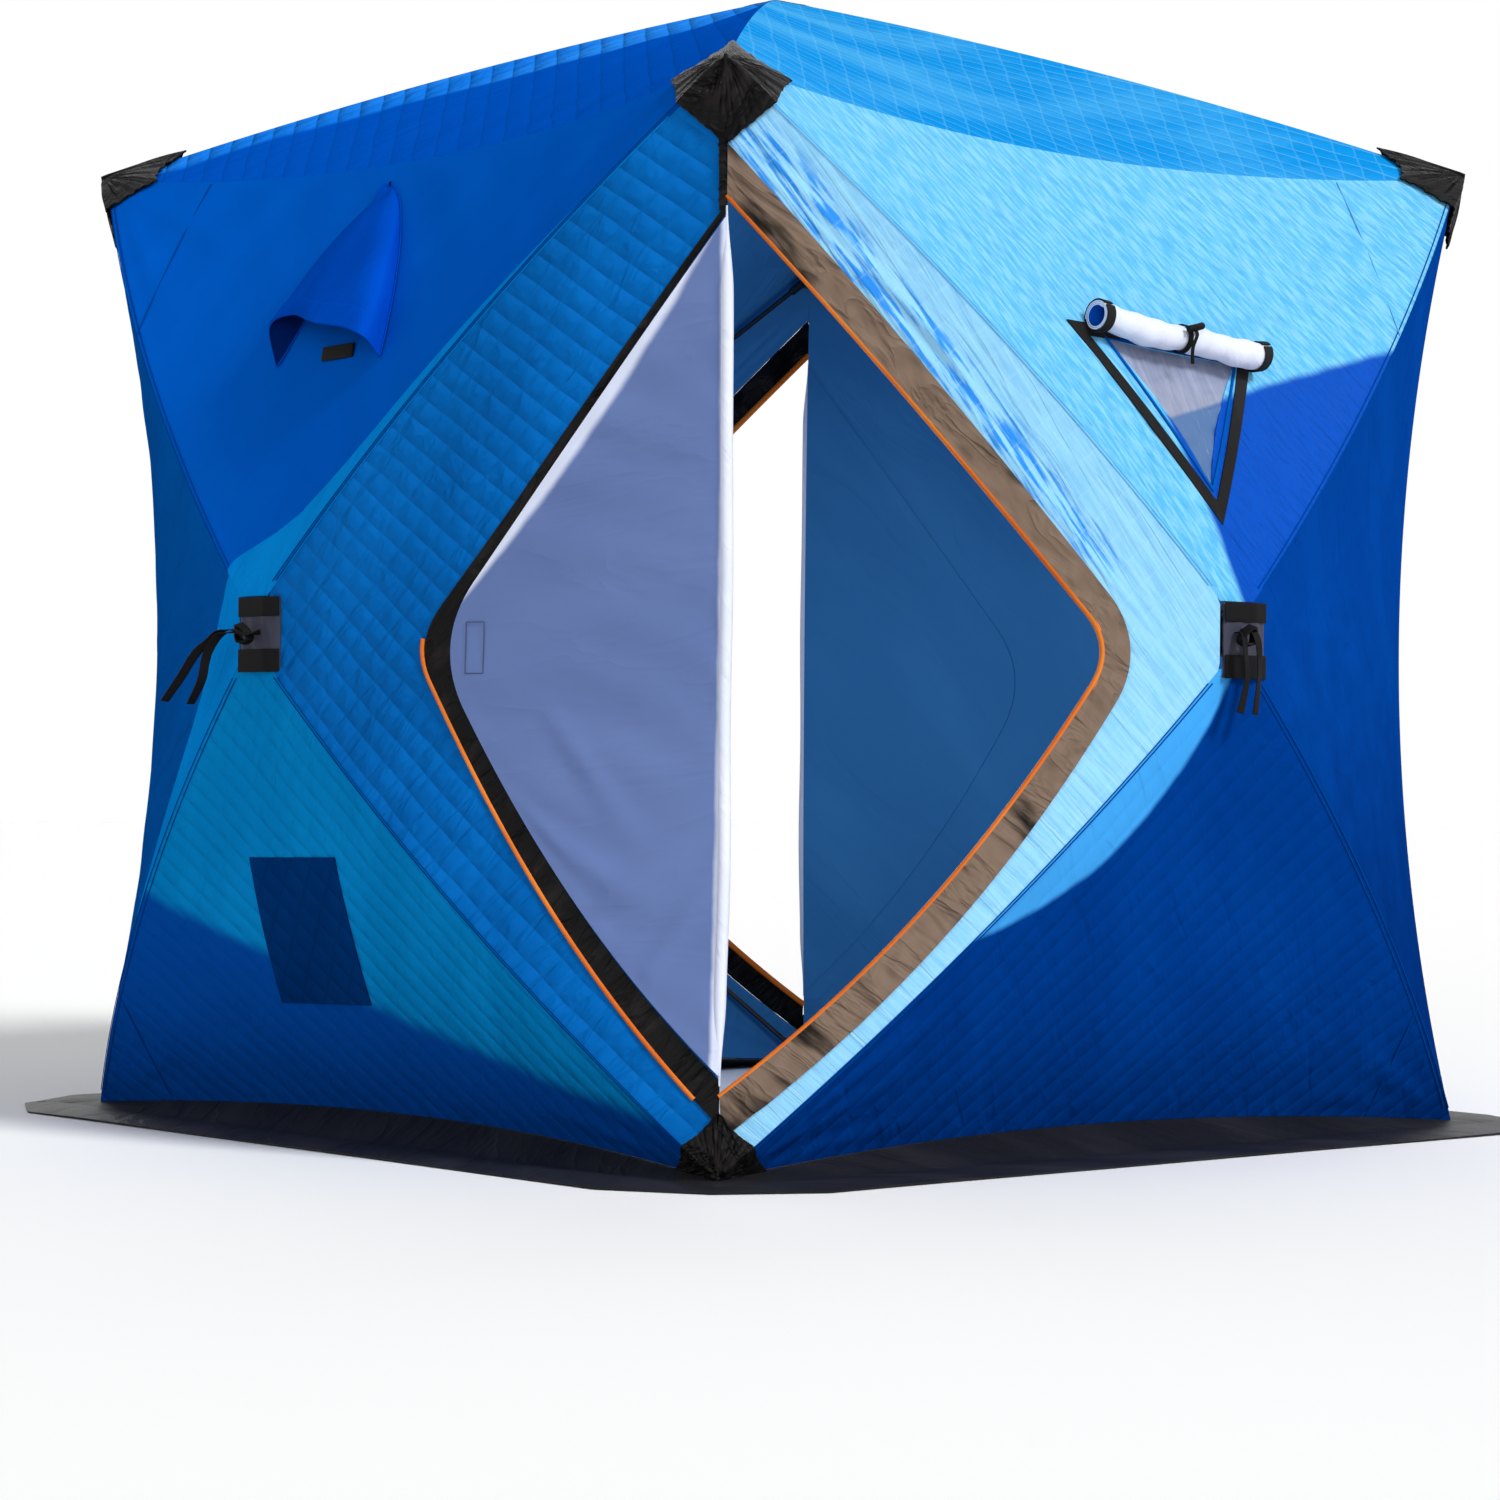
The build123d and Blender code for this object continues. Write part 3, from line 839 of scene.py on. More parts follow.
def lay_cloth(
    name: str,
    sector: Sector,
    shares: ShareMap,
    mesh: Mesh,
    relief: Relief,
    wall: WallPlace,
    lift: float = 0.0,
    thickness: float = 0.004,
) -> Piece:
    """Lay a piece of cloth on a sector.

    Args:
        name: the piece's name.
        sector: the sector, in the front wall's place.
        shares: from the piece's own shares to the sector's.
        mesh: how finely it is meshed.
        relief: what lifts it.
        wall: the wall it belongs to.
        lift: how far its outer skin stands above the sector's.
        thickness: the cloth's thickness, which grows inwards.

    Returns:
        The piece, with its inner side in its second material slot.
    """

    def place(across: Array, along: Array) -> Placed:
        """Put the cloth on the sector."""
        here_across, here_outward = shares(across, along)
        skin = sector.at(here_across, here_outward)
        normal = sector.normal(here_across, here_outward)
        flat = skin[:, list(sector.axes)]
        seam = nearest_distance(skin, seam_line(sector, shares, mesh.ring))
        height = lift + relief.height(flat[:, 0], flat[:, 1], seam)
        return wall.put(skin + normal * height[:, None]), wall.put(normal), flat

    piece = spread_points(name, mesh, place)
    line_with_second_cloth(piece, thickness)
    return piece


def line_with_second_cloth(piece: Piece, thickness: float) -> None:
    """Give an open sheet its thickness inwards, its inner side in the second material slot.

    Args:
        piece: the sheet.
        thickness: the thickness.
    """
    for _ in range(2):
        piece.data.materials.append(None)
    apply_modifier(piece, "SOLIDIFY", thickness=thickness, offset=-1.0, material_offset=1, material_offset_rim=0)
    smooth(piece)


def seam_line(sector: Sector, shares: ShareMap, ring: bool) -> Array:
    """The edge of a piece of cloth as a line of points.

    Args:
        sector: the sector.
        shares: the piece's share map.
        ring: whether the piece closes round on itself, which leaves two edges.

    Returns:
        The points.
    """
    run = np.linspace(0, 1, 61)
    zero, one = np.zeros(61), np.ones(61)
    if ring:
        across, along = np.concatenate([run, run]), np.concatenate([zero, one])
    else:
        across = np.concatenate([run, one, run[::-1], zero])
        along = np.concatenate([zero, run, one, run[::-1]])
    return sector.at(*shares(across, along))


def tube(name: str, line: Array, radius: float, sides: int, wall: WallPlace, taper: float = 0.0) -> Piece:
    """A round cord of filler and cloth along a line.

    Args:
        name: the piece's name.
        line: its middle line, in the front wall's place.
        radius: its radius.
        sides: faces round it.
        wall: the wall it belongs to.
        taper: the share of its length over which each end grows thin.

    Returns:
        The closed tube.
    """
    count = len(line) - 1
    steps = unit(np.gradient(line, axis=0))
    side = unit(np.cross(steps, FACING))
    out = np.cross(side, steps)
    runs = run_lengths(line)

    def place(across: Array, along: Array) -> Placed:
        """Wrap the cloth round the line."""
        index = np.clip(np.round(along * count).astype(int), 0, count)
        angle = across * 2 * np.pi
        spoke = side[index] * np.cos(angle)[:, None] + out[index] * np.sin(angle)[:, None]
        flat = np.stack([across * 2 * np.pi * radius, runs[index]], axis=1)
        full = 0.15 + 0.85 * ease(np.minimum(along, 1 - along), taper) if taper else np.ones(len(along))
        return wall.put(line[index] + spoke * (radius * full)[:, None]), wall.put(spoke), flat

    piece = spread_points(name, Mesh(sides, count, ring=True), place)
    in_edit_mode(
        piece,
        lambda: bpy.ops.mesh.select_all(action="DESELECT"),
        lambda: bpy.ops.mesh.select_non_manifold(),
        lambda: bpy.ops.mesh.edge_face_add(),
        lambda: bpy.ops.mesh.select_all(action="SELECT"),
        lambda: bpy.ops.mesh.normals_make_consistent(inside=False),
    )
    smooth(piece)
    return piece


# Outlines of the doors


@dataclass(frozen=True)
class DoorOutline:
    """The half diamond that a door draws on one wall beside its corner, in metres."""

    half_wall: float
    reach: float
    apex: float
    foot: float
    tip_height: float = 0.830
    lower_bulge: float = 0.035
    tip_radius: float = 0.090

    def line(self, beyond: float = 0.0) -> Array:
        """Its edge from a little above its apex to a little below its foot.

        Args:
            beyond: how far outside the outline the line runs.

        Returns:
            Places along the wall and up it.
        """
        tip = np.array([self.half_wall - self.reach, self.tip_height])
        apex, foot = np.array([self.half_wall, self.apex]), np.array([self.half_wall, self.foot])
        share = np.linspace(0, 1, 160)[:, None]
        upper = apex + (tip - apex) * share
        chord = foot - tip
        way = np.array([chord[1], -chord[0]]) / np.linalg.norm(chord)
        lower = tip + chord * share + way * self.lower_bulge * 4 * share * (1 - share)
        cut = self.tip_radius * 0.75
        before = upper[np.linalg.norm(upper - tip, axis=1) > cut]
        after = lower[np.linalg.norm(lower - tip, axis=1) > cut]
        turn = np.linspace(0, 1, 40)[1:-1, None]
        rounding = before[-1] * (1 - turn) ** 2 + tip * 2 * turn * (1 - turn) + after[0] * turn**2
        first, last = before[:1] * 1.1 - before[40:41] * 0.1, after[-1:] * 1.1 - after[-41:-40] * 0.1
        edge = np.concatenate([first, before, rounding, after, last])
        if beyond == 0.0:
            return edge
        steps = unit(np.gradient(edge, axis=0))
        return edge + np.stack([steps[:, 1], -steps[:, 0]], axis=1) * beyond


# Finishes


class Finish(Enum):
    """The materials of the shelter, one for each finish; the sunlit, shadowed and shaded finishes are copies of one
    cloth in painted light and shade.
    """

    ROYAL = "royal_top_cloth"
    SKY = "sky_top_cloth"
    GLARE = "sky_side_cloth"
    ROOF_SKY = "sky_roof_cloth"
    SHADED = "plain_side_cloth"
    DUSK = "dusk_side_cloth"
    BRIGHT = "quilted_side_cloth"
    TEAL = "quilted_bottom_cloth"
    ROOF = "quilted_roof_cloth"
    LINING = "wall_lining"
    LAVENDER = "door_lining"
    BLACK = "black_cloth"
    FLAP = "storm_flap_cloth"
    SKIRT = "skirt_cloth"
    PIPING = "orange_piping"
    FILM = "window_film"
    TAPE = "hook_and_loop"
    WEBBING = "black_webbing"
    PATCH = "grey_patch_cloth"
    DEEP = "quilted_deep_cloth"
    SLEEVE = "smooth_sleeve_cloth"
    HOOD = "vent_hood_cloth"
    SHADOW = "vent_inner_cloth"
    THREAD = "grey_thread"
    SEAM_LIT = "pale_seam_thread"
    SEAM = "seam_thread"
    NAVY = "navy_patch_cloth"
    HEM = "pale_hem"
    PLASTIC = "black_plastic"
    ROD = "glass_fibre"


def linear(red: int, green: int, blue: int) -> tuple[float, float, float, float]:
    """A screen colour given in steps of 255 as the colour that Blender's sockets hold."""
    shares = (part / 255 for part in (red, green, blue))
    return (*(s / 12.92 if s <= 0.04045 else ((s + 0.055) / 1.055) ** 2.4 for s in shares), 1.0)


class Tree:
    """Adds shader nodes to a material or group and links them."""

    def __init__(self, tree: bpy.types.NodeTree) -> None:
        """Take a node tree to work on."""
        self.tree = tree

    def add(self, kind: str, inputs: Optional[dict[str, object]] = None, **settings: object) -> Node:
        """Add a node.

        Args:
            kind: its type.
            inputs: values or sockets for its inputs, by name or number.
            settings: its properties.

        Returns:
            The node.
        """
        node = self.tree.nodes.new(kind)
        for name, value in settings.items():
            setattr(node, name, value)
        for name, value in (inputs or {}).items():
            self.feed(node.inputs[name], value)
        return node

    def feed(self, socket: Socket, value: object) -> None:
        """Link a socket into another, or write a value into it."""
        if isinstance(value, Socket):
            self.tree.links.new(value, socket)
        else:
            socket.default_value = value

    def math(self, operation: str, *values: Number) -> Socket:
        """The result of one sum on numbers."""
        return self.add("ShaderNodeMath", dict(enumerate(values)), operation=operation).outputs[0]

    def blend(self, share: Number, first: object, second: object) -> Socket:
        """A colour between two colours."""
        node = self.add("ShaderNodeMix", data_type="RGBA")
        for index, value in ((0, share), (6, first), (7, second)):
            self.feed(node.inputs[index], value)
        return node.outputs[2]

    def step(self, value: Number, low: Number, high: Number) -> Socket:
        """Rise smoothly from 0 to 1 between two values."""
        inputs = {0: value, 1: low, 2: high, 3: 0.0, 4: 1.0}
        return self.add("ShaderNodeMapRange", inputs, interpolation_type="SMOOTHSTEP").outputs[0]

    def turned(self, vector: Socket, degrees: float, stretch: tuple[float, float] = (1.0, 1.0)) -> Socket:
        """A flat map turned, then stretched."""
        turn = self.add("ShaderNodeVectorRotate", {"Vector": vector, "Angle": math.radians(degrees)})
        turn.rotation_type = "Z_AXIS"
        scale = self.add("ShaderNodeVectorMath", {0: turn.outputs[0], 1: (*stretch, 1.0)}, operation="MULTIPLY")
        return scale.outputs[0]

    def group(self, group: bpy.types.NodeTree, inputs: dict[str, object]) -> Node:
        """Place a node group with its values."""
        return self.add("ShaderNodeGroup", inputs, node_tree=group)


def new_group(name: str, inputs: dict[str, str], outputs: Sequence[str]) -> tuple[Tree, Node, Node]:
    """Start a node group.

    Args:
        name: its name.
        inputs: kinds of its inputs by name.
        outputs: names of its outputs, all numbers.

    Returns:
        The group as a tree, and its input and output nodes.
    """
    group = bpy.data.node_groups.new(name, "ShaderNodeTree")
    for label, kind in inputs.items():
        group.interface.new_socket(name=label, in_out="INPUT", socket_type=f"NodeSocket{kind}")
    for label in outputs:
        group.interface.new_socket(name=label, in_out="OUTPUT", socket_type="NodeSocketFloat")
    tree = Tree(group)
    return tree, tree.add("NodeGroupInput"), tree.add("NodeGroupOutput")


def quilting_group() -> bpy.types.NodeTree:
    """Diamonds sewn into padded cloth: puffs between crossing rows of stitches.

    Returns:
        The group, which gives the puffs' height from 0 to 1 and a mask of the sewn lines.
    """
    tree, given, result = new_group(
        "diamond quilting",
        {"Cloth": "Vector", "Spacing": "Float", "Wander": "Float", "Cross": "Float"},
        ("Puff", "Stitch"),
    )
    noise = tree.add("ShaderNodeTexNoise", {"Vector": given.outputs["Cloth"], "Scale": 9.0, "Detail": 2.0})
    sway = tree.math("MULTIPLY", tree.math("SUBTRACT", noise.outputs[0], 0.5), given.outputs["Wander"])
    apart = tree.add("ShaderNodeSeparateXYZ", {0: given.outputs["Cloth"]})
    half = tree.math("MULTIPLY", given.outputs["Spacing"], 0.5)
    puffs, lines = [], []
    for sign in (1.0, -1.0):
        slope = tree.math("MULTIPLY_ADD", apart.outputs[1], sign, apart.outputs[0])
        place = tree.math("ADD", tree.math("MULTIPLY", slope, 0.7071), sway)
        gap = tree.math("DIVIDE", tree.math("PINGPONG", place, half), half)
        strength = given.outputs["Cross"] if sign < 0 else 1.0
        valley = tree.math("POWER", tree.math("SUBTRACT", 1.0, gap), 2.2)
        puffs.append(tree.math("SUBTRACT", 1.0, tree.math("MULTIPLY", valley, strength)))
        lines.append(tree.math("MULTIPLY", tree.step(gap, 0.15, 0.01), strength))
    uneven = tree.add("ShaderNodeTexNoise", {"Vector": given.outputs["Cloth"], "Scale": 26.0, "Detail": 2.0})
    fullness = tree.math("MULTIPLY_ADD", uneven.outputs[0], 1.5, 0.25)
    tree.feed(result.inputs["Puff"], tree.math("MULTIPLY", tree.math("MULTIPLY", *puffs), fullness))
    tree.feed(result.inputs["Stitch"], tree.math("MAXIMUM", *lines))
    return tree.tree


def crumple_group() -> bpy.types.NodeTree:
    """Small creases of handled cloth that run one way.

    Returns:
        The group, which gives their height in metres.
    """
    tree, given, result = new_group("creases", {"Cloth": "Vector", "Length": "Float", "Rise": "Float"}, ("Height",))
    scaled = tree.add("ShaderNodeVectorMath", {0: given.outputs["Cloth"]}, operation="SCALE")
    tree.feed(scaled.inputs["Scale"], tree.math("DIVIDE", 1.0, given.outputs["Length"]))
    waves = {"Vector": scaled.outputs[0], "Scale": 1.0, "Detail": 3.0, "Distortion": 0.7}
    broad = tree.add("ShaderNodeTexNoise", waves)
    ridge = tree.math("ABSOLUTE", tree.math("SUBTRACT", broad.outputs[0], 0.5))
    crease = tree.math("SUBTRACT", 1.0, tree.math("POWER", tree.math("MULTIPLY", ridge, 4.0), 0.7))
    total = tree.math("ADD", tree.math("MULTIPLY", crease, 0.5), broad.outputs[0])
    tree.feed(result.inputs["Height"], tree.math("MULTIPLY", total, given.outputs["Rise"]))
    return tree.tree


def weave_group() -> bpy.types.NodeTree:
    """Threads of a plain weave.

    Returns:
        The group, which gives the threads' height from 0 to 1.
    """
    tree, given, result = new_group("weave", {"Cloth": "Vector", "Thread": "Float"}, ("Height",))
    apart = tree.add("ShaderNodeSeparateXYZ", {0: given.outputs["Cloth"]})
    turns = tree.math("DIVIDE", 2 * math.pi, given.outputs["Thread"])
    waves = [tree.math("SINE", tree.math("MULTIPLY", apart.outputs[axis], turns)) for axis in (0, 1)]
    product = tree.math("MULTIPLY", *waves)
    tree.feed(result.inputs["Height"], tree.math("MULTIPLY_ADD", product, 0.5, 0.5))
    return tree.tree


def lighting_edge_group() -> bpy.types.NodeTree:
    """A bowed line across a cloth that parts its painted light from its painted shade.

    Returns:
        The group, which gives 1 on the line's left and 0 on its right.
    """
    tree, given, result = new_group(
        "dye line",
        {"Cloth": "Vector", "Start": "Vector", "Step": "Vector", "Bow": "Float", "Soft": "Float"},
        ("Left",),
    )
    step = given.outputs["Step"]
    ends = {0: given.outputs["Cloth"], 1: given.outputs["Start"]}
    off = tree.add("ShaderNodeVectorMath", ends, operation="SUBTRACT")
    length = tree.add("ShaderNodeVectorMath", {0: step}, operation="LENGTH").outputs["Value"]
    dot = tree.add("ShaderNodeVectorMath", {0: off.outputs[0], 1: step}, operation="DOT_PRODUCT").outputs["Value"]
    along = tree.math("DIVIDE", dot, tree.math("MULTIPLY", length, length))
    cross = tree.add("ShaderNodeVectorMath", {0: step, 1: off.outputs[0]}, operation="CROSS_PRODUCT")
    aside = tree.math("DIVIDE", tree.add("ShaderNodeSeparateXYZ", {0: cross.outputs[0]}).outputs[2], length)
    bend = tree.math("MULTIPLY", along, tree.math("SUBTRACT", 1.0, along))
    bend = tree.math("MULTIPLY", bend, tree.math("MULTIPLY", given.outputs["Bow"], 4.0))
    noise = tree.add("ShaderNodeTexNoise", {"Vector": given.outputs["Cloth"], "Scale": 16.0, "Detail": 2.0})
    soft = given.outputs["Soft"]
    sway = tree.math("MULTIPLY", tree.math("SUBTRACT", noise.outputs[0], 0.5), soft)
    place = tree.math("ADD", tree.math("SUBTRACT", aside, bend), sway)
    tree.feed(result.inputs["Left"], tree.step(place, tree.math("MULTIPLY", soft, -1.0), soft))
    return tree.tree


@dataclass(frozen=True)
class PaintedLightingEdge:
    """The bowed edge of a cloth's patch of painted light and shade, in the cloth's flat coordinates."""

    start: Spot
    end: Spot
    bow: float = 0.0
    soft: float = 0.010


@dataclass(frozen=True)
class PaintedLighting:
    """A part of a cloth painted in another light than the rest, to the left of its lines: painted shade on a sunlit
    cloth, painted sunlight on a shaded one, and deeper shade on a shaded one.
    """

    colour: tuple[int, int, int]
    lines: tuple[PaintedLightingEdge, ...]
    any_line: bool = False
    calm: float = 0.0
    broken: bool = False


@dataclass(frozen=True)
class ClothFinish:
    """A cloth with its colours, quilting, creases and weave; lengths in metres. Some of its colours are painted light
    and shade.
    """

    colour: tuple[int, int, int]
    worn: tuple[int, int, int]
    roughness: float = 0.55
    gloss: float = 0.2
    quilt_spacing: float = 0.0
    quilt_depth: float = 0.0
    quilt_angle: float = 0.0
    stitch_dark: float = 0.0
    crease_angle: float = 35.0
    crease_length: float = 0.10
    crease_stretch: float = 0.3
    crease_rise: float = 0.004
    thread: float = 0.0016
    thread_depth: float = 0.00012
    quilt_cross: float = 1.0
    stitch_colour: Optional[tuple[int, int, int]] = None
    tone_scale: float = 6.0
    tone_edge: tuple[float, float] = (0.38, 0.72)
    coat: float = 0.0
    # The patch of painted light and shade that the cloth carries, if any.
    zone: Optional[PaintedLighting] = None


@dataclass(frozen=True)
class HardFinish:
    """Plastic or glass fibre of one colour."""

    colour: tuple[int, int, int]
    roughness: float
    grain: float
    coat: float = 0.0


UNEVEN_SHINE = 0.12
QUILT_WANDER = 0.010
FINISHES: dict[Finish, Union[ClothFinish, HardFinish]] = {
    Finish.ROYAL: ClothFinish((1, 87, 191), (1, 90, 196), 0.5, gloss=0.0, crease_rise=0.0012, crease_length=0.16),
    Finish.SHADED: ClothFinish((3, 80, 160), (3, 86, 170), 0.5, gloss=0.0, crease_rise=0.006, crease_angle=70.0),
    # Painted shade: the right and left plain sides as they stand in shadow, deeper towards the bottom.
    Finish.DUSK: ClothFinish(
        (3, 62, 148), (3, 68, 156), 0.5, gloss=0.0, crease_rise=0.006, crease_length=0.06,
        zone=PaintedLighting((2, 44, 112), (PaintedLightingEdge((0.9, 0.62), (-0.9, 0.62), 0.0, 0.45),)),
    ),
    Finish.BRIGHT: ClothFinish(
        (2, 92, 168), (4, 104, 186), 0.5, 0.02, 0.037, 0.0046, quilt_angle=-2.0, crease_rise=0.005,
        crease_length=0.04, stitch_dark=0.08, quilt_cross=0.72,
    ),
    # Painted sunlight: the right and left door sides pale, with lighter stitching, and painted shade in broken streaks
    # near the storm flap's upper half.
    Finish.GLARE: ClothFinish(
        (140, 200, 236), (128, 192, 232), 0.45, 0.04, 0.044, 0.0012, crease_angle=38.0, crease_length=0.022,
        crease_stretch=0.07, crease_rise=0.004, stitch_dark=0.12, stitch_colour=(180, 220, 246), tone_scale=130.0,
        tone_edge=(0.46, 0.60),
        zone=PaintedLighting(
            (44, 136, 226),
            (PaintedLightingEdge((0.800, 1.610), (0.155, 0.895), 0.0, 0.012), PaintedLightingEdge((-0.9, 0.96), (0.9, 0.96), 0.0, 0.05)),
            broken=True,
        ),
    ),
    # The bottom's blue in teal, painted light from the snow, with painted shade below a bowed line, where the quilting
    # calms.
    Finish.TEAL: ClothFinish(
        (4, 124, 190), (8, 136, 206), 0.5, gloss=0.0, quilt_spacing=0.037, quilt_depth=0.0042, stitch_dark=0.08,
        quilt_cross=0.4, crease_rise=0.004, crease_length=0.05,
        zone=PaintedLighting((3, 72, 160), (PaintedLightingEdge((0.70, 0.103), (-0.90, 0.62), 0.075, 0.018),), calm=0.6),
    ),
    # Painted shade: the right and left bottoms in shadow, with a painted sunlit crescent beside the door-side rod
    # below the hub, where the quilting calms.
    Finish.DEEP: ClothFinish(
        (1, 54, 132), (1, 60, 142), 0.5, gloss=0.0, quilt_spacing=0.037, quilt_depth=0.0016, stitch_dark=0.05,
        quilt_cross=0.4, crease_rise=0.003, crease_length=0.06,
        zone=PaintedLighting((64, 160, 234), (PaintedLightingEdge((-0.012, 0.86), (0.50, 0.37), -0.105, 0.008),), calm=0.5),
    ),
    # Painted sunlight: the right and left walls' top cloth in light azure, with crease highlights, and a painted
    # shadow over its lower far part beside the window.
    Finish.SKY: ClothFinish(
        (86, 176, 226), (124, 196, 233), 0.45, 0.04, crease_angle=38.0, crease_length=0.010, crease_stretch=0.16,
        crease_rise=0.0030, tone_scale=150.0, tone_edge=(0.40, 0.62),
        zone=PaintedLighting(
            (2, 74, 178),
            (PaintedLightingEdge((0.10, 1.205), (-0.62, 1.390), 0.0, 0.008), PaintedLightingEdge((-0.012, 0.92), (0.09, 1.25), 0.0, 0.008)),
        ),
    ),
    # Painted light: the smooth sleeves beside the rods, lighter where the sun catches them.
    Finish.SLEEVE: ClothFinish((4, 128, 212), (6, 138, 222), 0.5, 0.0, crease_rise=0.003, crease_length=0.04),
    Finish.HOOD: ClothFinish((1, 70, 180), (1, 74, 188), 0.5, gloss=0.0, crease_rise=0.002, crease_length=0.06),
    Finish.THREAD: ClothFinish((72, 84, 118), (80, 92, 126), 0.7, gloss=0.0, crease_rise=0.0002),
    Finish.SHADOW: ClothFinish((2, 22, 78), (2, 34, 96), 0.7, gloss=0.0, crease_rise=0.003),
    # Painted light: seams pale on the sunlit right and left walls.
    Finish.SEAM_LIT: ClothFinish((92, 172, 224), (110, 186, 232), 0.7, gloss=0.0, crease_rise=0.0002),
    Finish.SEAM: ClothFinish((0, 62, 140), (0, 66, 146), 0.7, gloss=0.0, crease_rise=0.0002),
    Finish.NAVY: ClothFinish(
        (0, 46, 104), (2, 52, 112), gloss=0.0, quilt_spacing=0.044, quilt_depth=0.004, stitch_dark=0.2
    ),
    Finish.HEM: ClothFinish((214, 220, 240), (222, 226, 244), 0.6, crease_rise=0.002, crease_length=0.04),
    # Painted light and shade: a lit quilted band beside the front and back roofs' left ridge, and painted shade beyond
    # it, where the quilting calms.
    Finish.ROOF: ClothFinish(
        (20, 116, 222), (40, 134, 234), 0.5, 0.0, 0.040, 0.006, quilt_angle=-6.0, stitch_dark=0.25,
        quilt_cross=0.5,
        zone=PaintedLighting((1, 80, 188), (PaintedLightingEdge((0.12, -0.16), (-0.84, -0.89), -0.02, 0.012),), calm=0.85),
    ),
    # Painted sunlight: the right and left roofs in light azure, with lighter stitching.
    Finish.ROOF_SKY: ClothFinish(
        (14, 140, 218), (66, 164, 226), 0.5, 0.0, 0.040, 0.004, quilt_angle=-6.0, stitch_dark=0.45,
        stitch_colour=(120, 196, 238), quilt_cross=0.5, crease_rise=0.0012, crease_length=0.02, crease_stretch=0.3,
        crease_angle=90.0,
    ),
    Finish.LINING: ClothFinish((56, 122, 178), (62, 130, 186), 0.7, gloss=0.0, crease_rise=0.004),
    # Painted shade: the pale door lining lavender in shade, and white where painted light falls along the zip's upper
    # edge and the corner fold.
    Finish.LAVENDER: ClothFinish(
        (96, 116, 166), (100, 120, 170), 0.6, gloss=0.05, crease_rise=0.003, crease_angle=80.0,
        zone=PaintedLighting(
            (214, 222, 244),
            (
                PaintedLightingEdge((0.347, 0.82), (0.857, 1.52), -0.030, 0.006),
                PaintedLightingEdge((0.871, 1.71), (0.864, 0.008), -0.070, 0.004),
            ),
            any_line=True,
        ),
    ),
    Finish.BLACK: ClothFinish(
        (8, 7, 8), (30, 27, 26), 0.5, gloss=0.10, crease_rise=0.010, crease_length=0.03, crease_stretch=0.3,
        tone_scale=30.0, tone_edge=(0.45, 0.70),
    ),
    # The storm flap's brown-black cloth in brown painted sunlight, with painted shade dark along its folds.
    Finish.FLAP: ClothFinish(
        (116, 98, 84), (24, 19, 16), 0.5, gloss=0.1, crease_rise=0.014, crease_length=0.050, crease_angle=44.0,
        crease_stretch=0.30, tone_scale=13.0, tone_edge=(0.53, 0.66),
    ),
    Finish.SKIRT: ClothFinish((16, 16, 19), (34, 34, 38), 0.6, crease_rise=0.006, crease_length=0.08),
    Finish.PIPING: ClothFinish((206, 98, 18), (224, 126, 40), 0.5, crease_rise=0.001, crease_length=0.02),
    Finish.TAPE: ClothFinish((17, 17, 18), (34, 34, 36), 0.9, crease_rise=0.001, crease_length=0.01),
    Finish.WEBBING: ClothFinish((8, 8, 10), (18, 18, 21), 0.65, gloss=0.1, crease_rise=0.0005, thread=0.003),
    Finish.PATCH: ClothFinish((50, 52, 68), (58, 60, 76), 0.6, crease_rise=0.001, thread=0.0025),
    # The pane with a painted shadow over its lower part, along the same edge as the top cloth's.
    Finish.FILM: ClothFinish(
        (128, 136, 162), (146, 154, 178), 0.25, 0.3, crease_rise=0.0012, crease_length=0.02, crease_stretch=0.15,
        crease_angle=8.0, thread=0.002, tone_scale=70.0, coat=0.3,
        zone=PaintedLighting((62, 100, 150), (PaintedLightingEdge((0.14, 1.190), (-0.62, 1.390), 0.0, 0.004),)),
    ),
    Finish.PLASTIC: HardFinish((20, 20, 22), 0.42, grain=0.0004),
    Finish.ROD: HardFinish((30, 30, 32), 0.35, grain=0.0003, coat=0.3),
}


